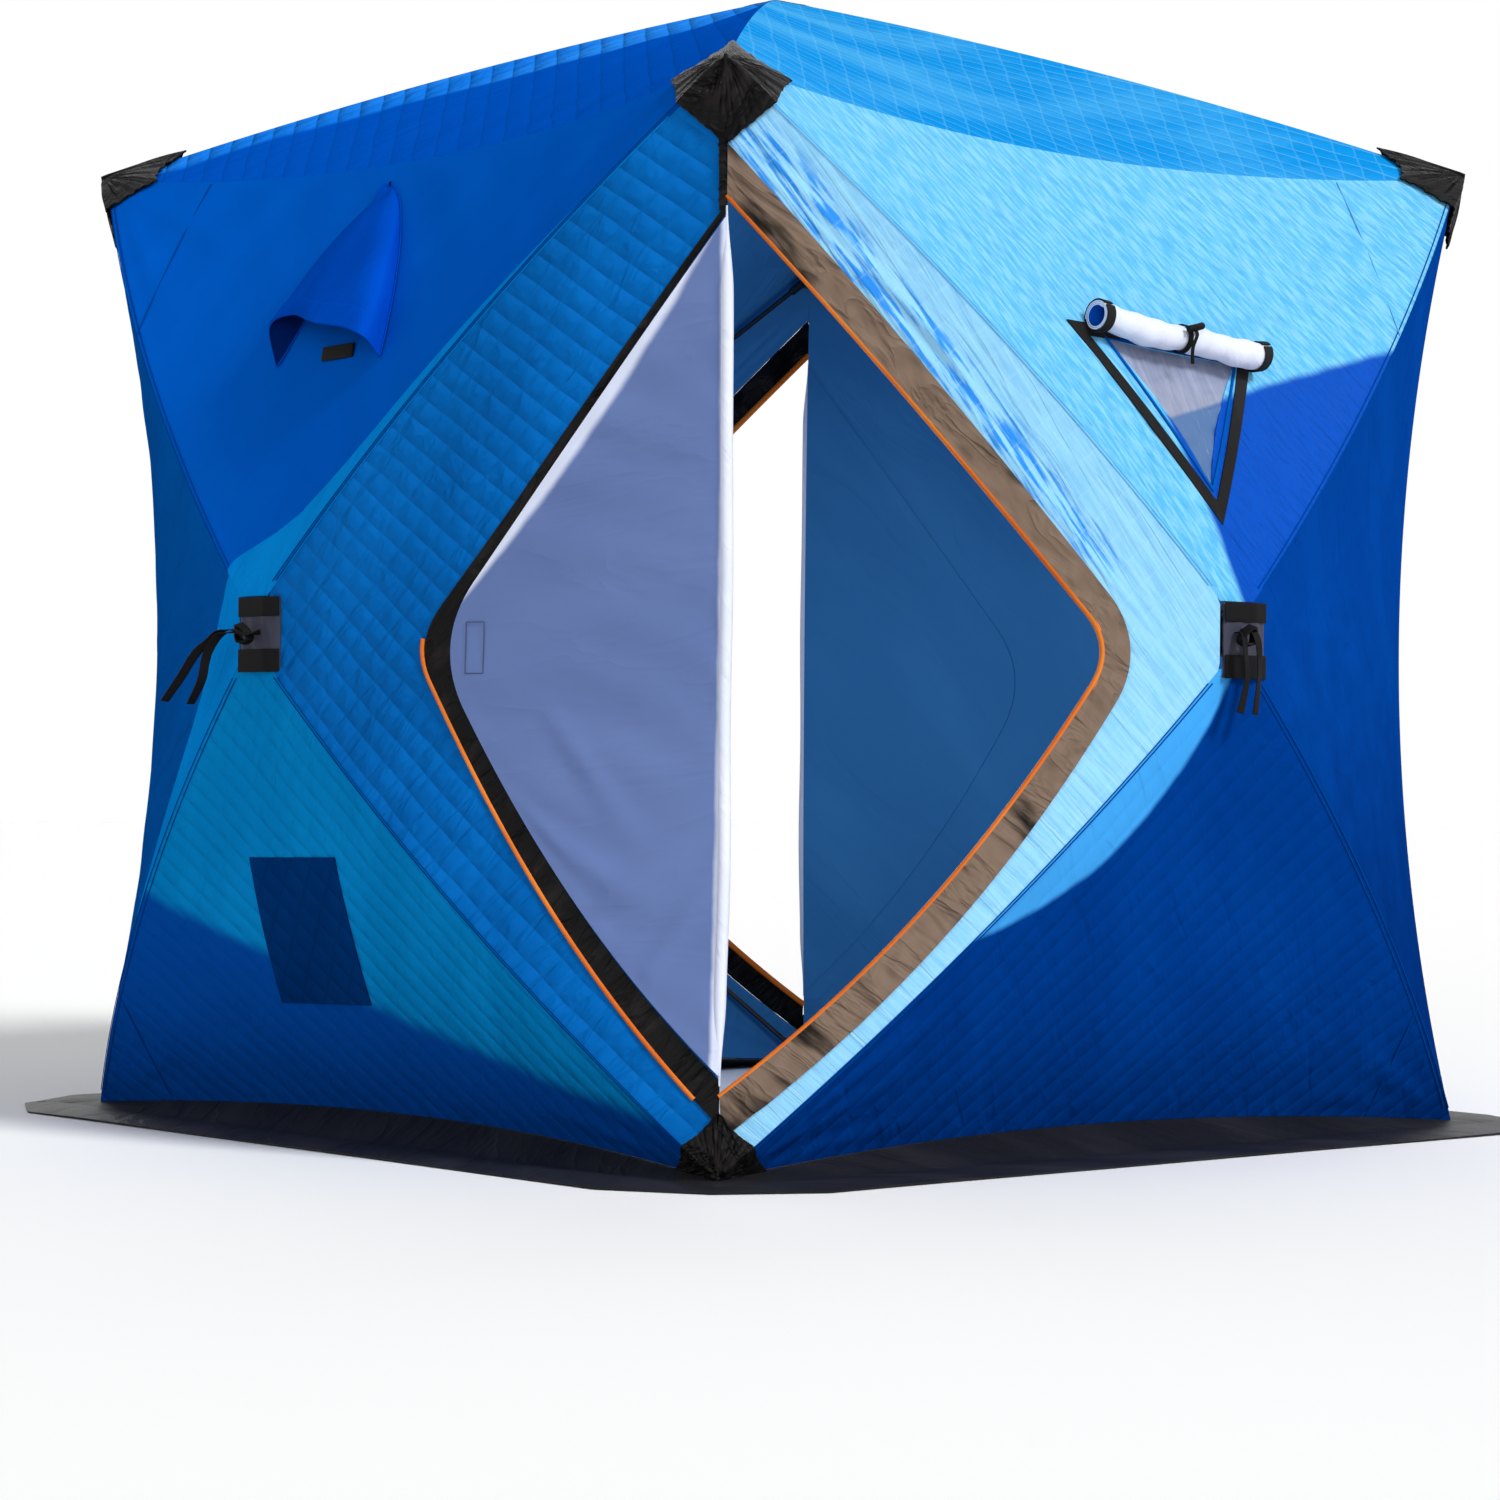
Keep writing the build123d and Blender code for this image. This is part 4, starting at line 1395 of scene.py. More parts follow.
class Dyeworks:
    """Makes each finish's material once, with the painted light and shade that some finishes carry."""

    def __init__(self) -> None:
        """Build the shared groups and all materials."""
        self.quilting = quilting_group()
        self.crumple = crumple_group()
        self.weave = weave_group()
        self.cut = lighting_edge_group()
        self.made = {finish: self.make(finish, look) for finish, look in FINISHES.items()}

    def make(self, finish: Finish, look: Union[ClothFinish, HardFinish]) -> bpy.types.Material:
        """Make one finish's material.

        Args:
            finish: which finish.
            look: its values.

        Returns:
            The material.
        """
        material = bpy.data.materials.new(finish.value)
        material.use_nodes = True
        material.node_tree.nodes.clear()
        tree = Tree(material.node_tree)
        surface = tree.add("ShaderNodeBsdfPrincipled")
        tree.add("ShaderNodeOutputMaterial", {"Surface": surface.outputs[0]})
        if isinstance(look, ClothFinish):
            self.weave_cloth(tree, surface, look)
        else:
            self.mould(tree, surface, look)
        return material

    def weave_cloth(self, tree: Tree, surface: Node, look: ClothFinish) -> None:
        """Dress a surface as cloth.

        Args:
            tree: the material's tree.
            surface: its surface shader.
            look: the cloth's values.
        """
        cloth = tree.add("ShaderNodeUVMap", uv_map=UV_NAME).outputs[0]
        run = tree.turned(cloth, look.crease_angle, (1.0, look.crease_stretch))
        crease = tree.group(self.crumple, {"Cloth": run, "Length": look.crease_length, "Rise": look.crease_rise})
        thread = tree.group(self.weave, {"Cloth": cloth, "Thread": look.thread})
        height = tree.math("MULTIPLY_ADD", thread.outputs[0], look.thread_depth, crease.outputs[0])
        # Two tones blended by noise that runs along the creases: random wear and tone on most cloths, painted crease
        # highlights on the sunlit top cloth, painted shade streaks on the sunlit side cloth, and on the storm flap
        # painted sunlight with painted shade in its folds.
        tone = tree.add("ShaderNodeTexNoise", {"Vector": run, "Scale": look.tone_scale, "Detail": 4.0})
        share = tree.step(tone.outputs[0], *look.tone_edge)
        colour = tree.blend(share, linear(*look.colour), linear(*look.worn))
        depth = look.quilt_depth
        # A patch of painted light and shade, blended over the cloth's colours; a broken patch shows in the crease
        # tone's streaks, and the quilting calms inside it.
        if look.zone:
            zone = self.painted_lighting_mask(tree, cloth, look.zone)
            if look.zone.broken:
                zone = tree.math("MULTIPLY", zone, share)
            colour = tree.blend(zone, colour, linear(*look.zone.colour))
            depth = tree.math("MULTIPLY", tree.math("MULTIPLY_ADD", zone, -look.zone.calm, 1.0), depth)
        if look.quilt_spacing:
            values = {"Spacing": look.quilt_spacing, "Wander": QUILT_WANDER, "Cross": look.quilt_cross}
            quilt = tree.group(self.quilting, {"Cloth": tree.turned(cloth, look.quilt_angle), **values})
            height = tree.math("MULTIPLY_ADD", quilt.outputs["Puff"], depth, height)
            # The sewn lines take another colour, half the cloth's unless a finish gives one: painted shade in the
            # valleys between the puffs; the sunlit cloths give lighter lines.
            dark = tree.math("MULTIPLY", quilt.outputs["Stitch"], look.stitch_dark)
            sewn = look.stitch_colour or tuple(part // 2 for part in look.colour)
            colour = tree.blend(dark, colour, linear(*sewn))
        bump = tree.add("ShaderNodeBump", {"Height": height, "Strength": 1.0, "Distance": 1.0})
        rough = tree.math("MULTIPLY_ADD", tone.outputs[0], UNEVEN_SHINE, look.roughness - UNEVEN_SHINE / 2)
        tree.feed(surface.inputs["Base Color"], colour)
        tree.feed(surface.inputs["Roughness"], rough)
        tree.feed(surface.inputs["Normal"], bump.outputs[0])
        surface.inputs["Coat Weight"].default_value = look.coat
        surface.inputs["Specular IOR Level"].default_value = look.gloss

    def painted_lighting_mask(self, tree: Tree, cloth: Socket, zone: PaintedLighting) -> Socket:
        """The mask of a cloth's patch of painted light and shade, 1 inside it."""
        masks = []
        for line in zone.lines:
            step = (line.end[0] - line.start[0], line.end[1] - line.start[1], 0.0)
            values = {"Cloth": cloth, "Start": (*line.start, 0.0), "Step": step, "Bow": line.bow, "Soft": line.soft}
            masks.append(tree.group(self.cut, values).outputs[0])
        mask = masks[0]
        for other in masks[1:]:
            mask = tree.math("MAXIMUM" if zone.any_line else "MINIMUM", mask, other)
        return mask

    def mould(self, tree: Tree, surface: Node, look: HardFinish) -> None:
        """Dress a surface as plastic or glass fibre.

        Args:
            tree: the material's tree.
            surface: its surface shader.
            look: the finish's values.
        """
        place = tree.add("ShaderNodeTexCoord").outputs["Object"]
        noise = tree.add("ShaderNodeTexNoise", {"Vector": place, "Scale": 90.0, "Detail": 3.0})
        darker = linear(*(int(part * 0.8) for part in look.colour))
        tree.feed(surface.inputs["Base Color"], tree.blend(noise.outputs[0], darker, linear(*look.colour)))
        tree.feed(surface.inputs["Roughness"], tree.math("MULTIPLY_ADD", noise.outputs[0], 0.1, look.roughness))
        bump = tree.add("ShaderNodeBump", {"Height": noise.outputs[0], "Strength": 1.0, "Distance": look.grain})
        tree.feed(surface.inputs["Normal"], bump.outputs[0])
        surface.inputs["Coat Weight"].default_value = look.coat

    def dress(self, piece: Piece, *finishes: Finish) -> None:
        """Give a piece its materials in the order of its slots."""
        while len(piece.data.materials) < len(finishes):
            piece.data.materials.append(None)
        for index, finish in enumerate(finishes):
            piece.data.materials[index] = self.made[finish]


# Sub-assemblies


class Maker:
    """What every sub-assembly needs: the shelter's form, its dyeworks and the way pieces are handed over."""

    def __init__(self, form: WallForm, dyes: Dyeworks) -> None:
        """Keep the form and the materials."""
        self.form = form
        self.dyes = dyes

    def hand_over(self, piece: Piece, nodes: Sequence[str], *finishes: Finish) -> Piece:
        """Dress a finished piece, tie it to the body and let it stand for its nodes.

        Args:
            piece: the finished piece.
            nodes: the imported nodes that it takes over.
            finishes: its materials.

        Returns:
            The piece.
        """
        self.dyes.dress(piece, *finishes)
        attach(piece, BODY)
        if nodes:
            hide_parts(*nodes)
        log.info("%s: %d faces", piece.name, len(piece.data.polygons))
        return piece

    def pair(self, piece: Piece, nodes: Sequence[str], *finishes: Finish) -> list[Piece]:
        """Hand over a piece and its twin on the opposite wall.

        Args:
            piece: the finished piece, whose name starts with its wall's.
            nodes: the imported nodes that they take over, each with its wall's name left open.
            finishes: their materials.

        Returns:
            Both pieces.
        """
        wall, label = piece.name.split("_", 1)
        opposite = OPPOSITE[wall]
        copy = twin(piece, f"{opposite}_{label}", 2)
        return [
            self.hand_over(each, [node.format(wall=name) for node in nodes], *finishes)
            for each, name in ((piece, wall), (copy, opposite))
        ]


def all_round(piece: Piece, names: Sequence[str] = ("front", "right", "back", "left")) -> list[Piece]:
    """A piece and its copies at each further quarter turn.

    Args:
        piece: the finished piece, whose name starts with the first name.
        names: what the pieces' names start with, in order.

    Returns:
        The four pieces.
    """
    label = piece.name.split("_", 1)[1]
    return [piece, *(twin(piece, f"{name}_{label}", turn) for turn, name in enumerate(names[1:], start=1))]


def rods_route(sector: Sector) -> Route:
    """A sector's edge down its first rod, along its hub edge and up its last rod."""
    return Route(sector, np.array([0.0, 0.0, 1.0, 1.0]), np.array([1.0, 0.0, 0.0, 1.0]))


def seam_between(first: Route) -> Route:
    """The stretch of a sector's far seam between the two ends of a route."""
    return Route(first.sector, np.array([first.across[0], first.across[-1]]), np.array([1.0, 1.0]))


def declare(pieces: Sequence[Piece], flat: tuple[float, float], held: str) -> None:
    """Log the share of a flat rectangle that the first of some alike sheets of cloth takes.

    Args:
        pieces: the sheets, alike and with an inner and an outer side.
        flat: the rectangle's sides.
        held: not used.
    """
    area = sum(face.area for face in pieces[0].data.polygons) / 2
    share = area / math.prod(flat)
    log.info("%s: %.2f of a cut of %.2f by %.2f m", pieces[0].name, share, *flat)


VENT_CORNERS = ((-0.068, 1.378), (0.120, 1.366), (0.012, 1.520))
PANE_CORNERS = ((-0.127, 1.312), (0.176, 1.334), (0.012, 1.092))


@dataclass
class WallPanels:
    """The sewn sectors of the four walls, with their holes for vents and windows."""

    maker: Maker
    door_edge: Route
    open_door: DoorOutline
    flap_gap: float = 0.048
    mesh: Mesh = Mesh(110, 58)

    def relief(self, wall: WallPlace, sector_name: str, seed: int) -> Relief:
        """The folds and waves of one sector.

        Args:
            wall: the wall.
            sector_name: which of the wall's sectors.
            seed: the seed of its spread.

        Returns:
            The relief.
        """
        half, top = self.maker.form.sizes.half_wall, self.maker.form.sizes.corner_height
        hub = self.maker.form.sizes.hub_height
        if sector_name == "top":
            folds = fan_of_folds((-half, top), (-42, -8), 5, (0.25, 0.5), 0.004, seed)
            folds += fan_of_folds((half, top), (188, 222), 5, (0.25, 0.5), 0.004, seed + 1)
            ripples = (Ripple(52.0, 0.16, 0.0016, seed), Ripple(-50.0, 0.2, 0.0016, seed + 3))
        elif sector_name == "bottom":
            folds = fan_of_folds((-half, 0.0), (8, 40), 5, (0.2, 0.45), 0.005, seed)
            folds += fan_of_folds((half, 0.0), (140, 172), 5, (0.2, 0.45), 0.005, seed + 1)
            ripples = (Ripple(45.0, 0.2, 0.0018, seed), Ripple(-45.0, 0.24, 0.0018, seed + 3))
        elif sector_name == "plain_side":
            folds = fan_of_folds((-half, top), (-88, -52), 5, (0.3, 0.6), 0.006, seed)
            folds += fan_of_folds((-half, 0.0), (48, 84), 5, (0.3, 0.6), 0.006, seed + 1)
            folds += fan_of_folds((-0.1, hub), (150, 210), 4, (0.3, 0.6), 0.004, seed + 2)
            ripples = (Ripple(15.0, 0.14, 0.0022, seed),)
        elif wall is RIGHT:
            folds = [
                Fold((0.86, 1.60), (0.62, 1.36), 0.010, 0.012), Fold((0.80, 1.57), (0.50, 1.25), 0.009, 0.010),
                Fold((0.70, 1.43), (0.34, 1.03), 0.011, 0.012), Fold((0.60, 1.36), (0.40, 1.13), 0.008, 0.008),
                Fold((0.50, 1.22), (0.22, 0.90), 0.010, 0.010), Fold((0.36, 1.07), (0.16, 0.84), 0.010, 0.008),
                Fold((0.30, 0.60), (0.56, 0.30), 0.012, 0.007), Fold((0.42, 0.44), (0.70, 0.16), 0.010, 0.006),
            ]
            ripples = (Ripple(-44.0, 0.05, 0.0016, seed), Ripple(80.0, 0.16, 0.0014, seed + 5))
        else:
            folds = fan_of_folds((0.05, hub), (-35, 35), 5, (0.15, 0.3), 0.004, seed)
            ripples = (Ripple(80.0, 0.16, 0.0018, seed), Ripple(-20.0, 0.12, 0.0014, seed + 5))
        return Relief(tuple(folds), ripples)

    def sector_piece(
        self, wall: WallPlace, label: str, sector: Sector, shares: ShareMap, mesh: Mesh, seed: int
    ) -> Piece:
        """One sector's cloth.

        Args:
            wall: the wall that it belongs to.
            label: which sector.
            sector: its form.
            shares: its share map.
            mesh: how finely it is meshed.
            seed: the seed of its folds.

        Returns:
            The piece.
        """
        relief = self.relief(wall, label, seed)
        return lay_cloth(f"{wall.name}_{label}_cloth", sector, shares, mesh, relief, wall)

    def holed(self, corners: Sequence[Spot]) -> tuple[ShareMap, Mesh]:
        """The share map of a top sector round a hole with some corners, and a fitting mesh."""
        steps = 220
        return round_a_hole(self.maker.form.top, np.array(corners), steps), Mesh(steps, 34, ring=True)

    def build(self) -> None:
        """Build and dress every wall's cloth, and log each piece's share of its cut."""
        form = self.maker.form
        side = form.sides[1]
        flap_edge = Route.on(side, self.open_door.line(self.flap_gap))
        # The right and left walls take sunlit and shadowed copies of the front wall's cloths: painted light and
        # painted shade.
        front_finishes = (Finish.ROYAL, Finish.TEAL, Finish.SHADED, Finish.BRIGHT)
        right_lit_and_shaded = (Finish.SKY, Finish.DEEP, Finish.DUSK, Finish.GLARE)
        for wall, corners, edge, dyes, side_cut, seed in (
            (FRONT, VENT_CORNERS, self.door_edge, front_finishes, (1.55, 0.75), 11),
            (RIGHT, PANE_CORNERS, flap_edge, right_lit_and_shaded, (1.70, 0.36), 47),
        ):
            hole = self.holed(corners)
            cuts = (
                ("top", form.top, *hole, dyes[0], (1.75, 0.90)),
                ("bottom", form.bottom, whole_sector, self.mesh, dyes[1], (1.75, 0.90)),
                ("plain_side", form.sides[-1], whole_sector, self.mesh, dyes[2], (1.70, 0.90)),
                ("door_side", side, between(rods_route(side), edge), Mesh(40, 160), dyes[3], side_cut),
            )
            for label, sector, shares, mesh, finish, flat in cuts:
                piece = self.sector_piece(wall, label, sector, shares, mesh, seed)
                pieces = self.maker.pair(piece, [f"{{wall}}_wall_{label}_panel"], finish, Finish.LINING)
                declare(pieces, flat, "stretched")
                seed += 7


@dataclass
class RoofPanels:
    """The four quilted sectors of the roof."""

    maker: Maker
    mesh: Mesh = Mesh(110, 58)

    def build(self) -> None:
        sizes = self.maker.form.sizes
        folds = fan_of_folds((-sizes.half_wall, -sizes.half_wall), (8, 38), 5, (0.2, 0.5), 0.005, 5)
        folds += fan_of_folds((sizes.half_wall, -sizes.half_wall), (142, 172), 5, (0.2, 0.5), 0.005, 6)
        relief = Relief(tuple(folds), (Ripple(4.0, 0.18, 0.0020, 8), Ripple(60.0, 0.3, 0.0014, 9)))
        pieces = all_round(lay_cloth("front_roof_cloth", self.maker.form.roof, whole_sector, self.mesh, relief, FRONT))
        for piece, dye in zip(pieces, (Finish.ROOF, Finish.ROOF_SKY) * 2):
            self.maker.hand_over(piece, [f"{piece.name.split('_')[0]}_roof_panel"], dye, Finish.LINING)
        declare(pieces, (1.75, 1.20), "stretched")


@dataclass
class CornerDoor:
    """Both corner doors: the zipped half, the half folded back over it, zip band, storm flap and piping."""

    maker: Maker
    closed: DoorOutline
    closed_band: DoorOutline
    opened: DoorOutline
    closed_piping_radius: float = 0.0042
    open_piping_radius: float = 0.0060
    piping_width: float = 0.008
    flap_width: float = 0.040
    piping_foot: float = 0.126
    piping_tops: tuple[float, float] = (0.838, 1.548)
    neck_heights: tuple[float, float] = (1.605, 1.498)
    neck_share: float = 0.988
    fold_radius: float = 0.010
    stitched_box: tuple = ((0.428, 0.780), (0.457, 0.780), (0.457, 0.861), (0.428, 0.861), (0.428, 0.780))

    def build(self) -> None:
        """Build and dress every piece of the doors, and log the cloth's share of its cuts."""
        side = self.maker.form.sides[1]
        inner = Route.on(side, self.closed.line())
        outer = self.band_edge()
        folded = Route.on(side, self.closed.line(-0.003))
        mouth = Route.on(side, self.opened.line(self.piping_width / 2))
        flap = Route.on(side, self.opened.line(self.piping_width + self.flap_width))
        calm = Relief(ripples=(Ripple(80.0, 0.16, 0.0015, 3),))
        folds = (
            Fold((0.47, 0.60), (0.72, 0.42), 0.020, 0.010),
            Fold((0.60, 0.36), (0.76, 0.50), 0.016, 0.009),
            Fold((0.56, 0.72), (0.70, 0.52), 0.018, 0.006),
            Fold((0.44, 0.95), (0.78, 1.38), 0.030, 0.010),
            Fold((0.56, 1.12), (0.80, 1.43), 0.014, 0.006),
            Fold((0.70, 0.24), (0.80, 0.44), 0.012, 0.006),
        )
        loose = Relief(folds, (Ripple(75.0, 0.13, 0.0028, 21),), pin_reach=0.03)
        crumpled = Relief((), (Ripple(10.0, 0.05, 0.0050, 31), Ripple(70.0, 0.07, 0.0042, 33)), pin_reach=0.012)
        cuts = (
            ("closed_half", FRONT, between(inner, seam_between(inner)), Mesh(40, 90), calm, 0.0, 0.004),
            ("folded_half", FRONT, between(folded, seam_between(folded)), Mesh(48, 110), loose, 0.012, 0.004),
            ("zip_band", FRONT, between(outer, inner), Mesh(8, 130), calm, 0.003, 0.005),
            ("storm_flap", RIGHT, between(flap, mouth), Mesh(16, 260), crumpled, 0.007, 0.005),
        )
        flat = {
            "closed_half": ((1.48, 0.52), "stretched"), "folded_half": ((1.48, 0.52), "folded"),
            "zip_band": ((1.72, 0.06), "stretched"), "storm_flap": ((1.90, 0.07), "stretched"),
        }
        looks = {
            "closed_half": (Finish.BRIGHT, Finish.LINING),
            "folded_half": (Finish.LAVENDER, Finish.BRIGHT),
            "zip_band": (Finish.BLACK, Finish.LINING),
            "storm_flap": (Finish.FLAP, Finish.BLACK),
        }
        for label, wall, shares, mesh, relief, lift, thickness in cuts:
            piece = lay_cloth(f"front_door_{label}_cloth", side, shares, mesh, relief, wall, lift, thickness)
            declare(self.maker.pair(piece, [f"{{wall}}_door_{label}"], *looks[label]), *flat[label])
        self.build_trim()
        closed_line, open_line = self.closed_band.line(-self.piping_width / 2), self.opened.line(self.piping_width / 2)
        for wall, label, line, top, radius in (
            (FRONT, "closed", closed_line, self.piping_tops[0], self.closed_piping_radius),
            (RIGHT, "open", open_line, self.piping_tops[1], self.open_piping_radius),
        ):
            points = self.part(Route.on(side, line), self.piping_foot, top)
            cord = tube(f"{wall.name}_{label}_piping", points, radius, 12, wall)
            self.maker.pair(cord, ["door_piping"], Finish.PIPING)

    def band_edge(self) -> Route:
        """The outer edge of the zip band: narrow down to the door's tip and wide below it."""
        side = self.maker.form.sides[1]
        inner = Route.on(side, self.closed.line())
        widest = Route.on(side, self.closed_band.line(-self.piping_width / 2))
        return part_way(inner, widest, np.array([0.9, 0.75, 0.7, 0.7, 0.85, 1.0, 1.0, 1.0, 1.0, 1.0]))

    def build_trim(self) -> None:
        """Sew the folded half's pale hem, its rounded fold at the corner and its stitched rectangle."""
        side = self.maker.form.sides[1]
        edge = Route.on(side, self.closed.line(-0.004))
        reach = np.array([edge.across[0] - 0.012, edge.across[-1] + 0.01])
        fold = Route(side, reach, np.array([0.999, 0.999])).places(150, lift=0.006)
        along = np.linspace(0, 1, 150)
        fold += np.stack([0.003 + 0.003 * np.sin(along * 19) * along, 0 * along, 0 * along], axis=1)
        high, low = (side.outer_share(2, height) for height in self.neck_heights)

        def neck(across: Array, along: Array) -> Shares:
            """Run down beside the corner edge."""
            return high + (low - high) * along, self.neck_share + (1 - self.neck_share) * across

        gathered = Relief(ripples=(Ripple(88.0, 0.012, 0.0022, 4),), pin_reach=0.001)
        band = lay_cloth("front_door_neck", side, neck, Mesh(10, 50), gathered, FRONT, lift=0.006, thickness=0.004)
        self.maker.pair(band, [], Finish.BLACK, Finish.BLACK)
        self.maker.pair(tube("front_flap_fold", fold, self.fold_radius, 14, FRONT, 0.10), [], Finish.HEM)
        box_line = read_off(np.linspace(0, 4, 81), np.arange(5), np.array(self.stitched_box))
        stitched = side.at(*side.locate(*box_line), 0.0129)
        across = np.cross(np.gradient(stitched, axis=0), FACING)
        stitches = ribbon("front_flap_stitching", stitched, across, 0.0020, 0.0006, FRONT)
        self.maker.pair(stitches, [], Finish.THREAD)

    def part(self, route: Route, low: float, high: float) -> Array:
        """The part of a route between two heights.

        Args:
            route: the route.
            low: the lower height.
            high: the upper height.

        Returns:
            Points of the cord's middle line.
        """
        points = route.places(420, lift=0.001)
        return points[(points[:, 2] >= low) & (points[:, 2] <= high)]


@dataclass
class CornerCaps:
    """Black pockets sewn over the top corners and over the feet of the door corners.

    The runs say how far a pocket reaches along a seam, the drop and rise how far along the corner edge.
    """

    maker: Maker
    top_run: float = 0.150
    top_drop: float = 0.130
    ridge_run: float = 0.108
    foot_run: float = 0.115
    foot_rise: float = 0.108
    belly: float = 0.014
    lift: float = 0.005
    thickness: float = 0.003
    pleat_rise: float = 0.0030
    middle_rise: float = 0.004
    rib_rise: float = 0.005
    seam_radius: float = 0.0032

    def ridge_share(self) -> float:
        """How far out along the roof's last rod a top cap begins."""
        near = np.array([self.maker.form.sizes.half_wall - self.ridge_run])
        return float(self.maker.form.roof.locate(near, -near)[1][0])

    def wall_edge(self, sector: Sector, run: float, level: float, tip: float) -> Array:
        """The part of a cap's cut edge on a wall that lies on one sector.

        Args:
            sector: the sector that is asked.
            run: how far the cap runs along the seam.
            level: the seam's height at the corner.
            tip: the height at which the cap meets the corner edge.

        Returns:
            Rows of shares across and outward, from the seam towards the corner edge.
        """
        form = self.maker.form
        where = np.linspace(-0.1, 1.2, 400)[:, None]
        seam, corner = form.top if level > tip else form.bottom, form.sides[1]
        near = seam.outer_share(0, form.sizes.half_wall - run)
        start = seam.at(np.array([near]), np.ones(1))[0, [0, 2]]
        end = corner.at(np.array([corner.outer_share(2, tip)]), np.ones(1))[0, [0, 2]]
        chord = end - start
        way = np.array([abs(chord[1]), abs(chord[0]) * np.sign(level - tip)]) / np.linalg.norm(chord)
        edge = start + chord * where + way * self.belly * 4 * where * (1 - where)
        shares = np.stack(sector.locate(edge[:, 0], edge[:, 1]), axis=1)
        return shares[np.all((shares >= -1e-4) & (shares <= 1 + 1e-4), axis=1)]

    def top_wedges(self) -> list[tuple[Sector, tuple, Array]]:
        """The front half of a top cap: side, top and roof sectors, from the corner edge to the ridge."""
        form = self.maker.form
        level, tip = form.sizes.corner_height, form.sizes.corner_height - self.top_drop
        side = self.wall_edge(form.sides[1], self.top_run, level, tip)[::-1]
        top = self.wall_edge(form.top, self.top_run, level, tip)[::-1]
        share = np.linspace(0, 1, 40)[:, None]
        roof = np.array([[top[-1, 0], 1.0]]) * (1 - share) + np.array([[1.0, self.ridge_share()]]) * share
        roof[:, 1] += 0.06 * share[:, 0] * (1 - share[:, 0])
        return [(form.sides[1], (0.0, 1.0), side), (form.top, (1.0, 1.0), top), (form.roof, (1.0, 1.0), roof)]

    def foot_wedges(self) -> list[tuple[Sector, tuple, Array]]:
        """The front half of a foot cap: side and bottom sectors, from the corner edge to the hem."""
        form = self.maker.form
        level, tip = form.sizes.hem_height, self.foot_rise
        side = self.wall_edge(form.sides[1], self.foot_run, level, tip)[::-1]
        bottom = self.wall_edge(form.bottom, self.foot_run, level, tip)[::-1]
        return [(form.sides[1], (1.0, 1.0), side), (form.bottom, (1.0, 1.0), bottom)]

    def pocket(self, name: str, wedges: list) -> Piece:
        """A pocket of cloth over a corner, from its front half and the same half mirrored.

        Args:
            name: the piece's name.
            wedges: the front half's sectors, corners and cut edges, from the corner edge on.

        Returns:
            The pocket.
        """
        count = len(wedges)

        def place(across: Array, along: Array) -> Placed:
            """Fan out from the corner."""
            turn = (across * 2 - 1) * count
            far = np.abs(turn)
            index = np.minimum(far.astype(int), count - 1)
            share = far - index
            points, ways = np.zeros((len(across), 3)), np.zeros((len(across), 3))
            for number, (sector, corner, edge) in enumerate(wedges):
                here = index == number
                rim = np.stack(read_off(share[here], np.linspace(0, 1, len(edge)), edge), axis=1)
                at = np.array(corner) + (rim - corner) * along[here][:, None]
                points[here] = sector.at(at[:, 0], at[:, 1], self.lift)
                ways[here] = sector.ways[1, 1]
            pleats = 0.6 * np.sin(far * 19.0 + 2 * np.sin(far * 5.0)) + 0.4 * np.sin(far * 41.0 + along * 6)
            body = np.array([0.6, -0.6, 0.5])
            rib = np.exp(-(((far - 1.0) / 0.10) ** 2)) + 0.7 * np.exp(-(((far - 0.12) / 0.07) ** 2))
            swell = self.pleat_rise * pleats * ease(along, 0.35)
            swell = swell + self.middle_rise * np.sin(np.pi * np.minimum(along, 1))
            swell = swell + self.rib_rise * rib * ease(along, 0.2)
            points += body * swell[:, None]
            swap = turn < 0
            for array in (points, ways):
                array[swap] = array[swap][:, [1, 0, 2]] * np.array([-1.0, -1.0, 1.0])
            flat = np.stack([turn * 0.05, along * 0.15], axis=1)
            return points, ways, flat

        piece = spread_points(name, Mesh(count * 40, 24, ring=True), place)
        in_edit_mode(piece, lambda: bpy.ops.mesh.normals_make_consistent(inside=False))
        apply_modifier(piece, "SOLIDIFY", thickness=self.thickness, offset=1.0)
        smooth(piece)
        return piece

    def build(self) -> None:
        """Build and dress all pockets."""
        tops = all_round(self.pocket("right_top_pocket", self.top_wedges()), ("right", "back", "left", "front"))
        for piece in tops:
            self.maker.hand_over(piece, ["corner_top_caps"], Finish.BLACK)
        declare(tops, (0.36, 0.26), "stretched")
        self.build_seams()
        foot = self.pocket("front_foot_pocket", self.foot_wedges())
        declare(self.maker.pair(foot, ["door_corner_foot_caps"], Finish.BLACK), (0.26, 0.14), "stretched")

    def build_seams(self) -> None:
        """Sew the rolled seam that runs over each top cap, from the ridge down to its tip."""
        form = self.maker.form
        side = form.sides[1]
        tip = side.outer_share(2, form.sizes.corner_height - self.top_drop)
        over = form.roof.at(np.ones(20), np.linspace(self.ridge_share(), 1.0, 20), self.lift + 0.003)
        down = side.at(np.linspace(0.0, tip, 30)[1:], np.ones(29), self.lift)
        down += np.array([0.5, -0.5, 0.0]) * 0.005
        seam = tube("right_cap_seam", np.concatenate([over, down]), self.seam_radius, 10, FRONT, 0.1)
        for piece in all_round(seam, ("right", "far", "left", "near")):
            self.maker.hand_over(piece, [], Finish.BLACK)


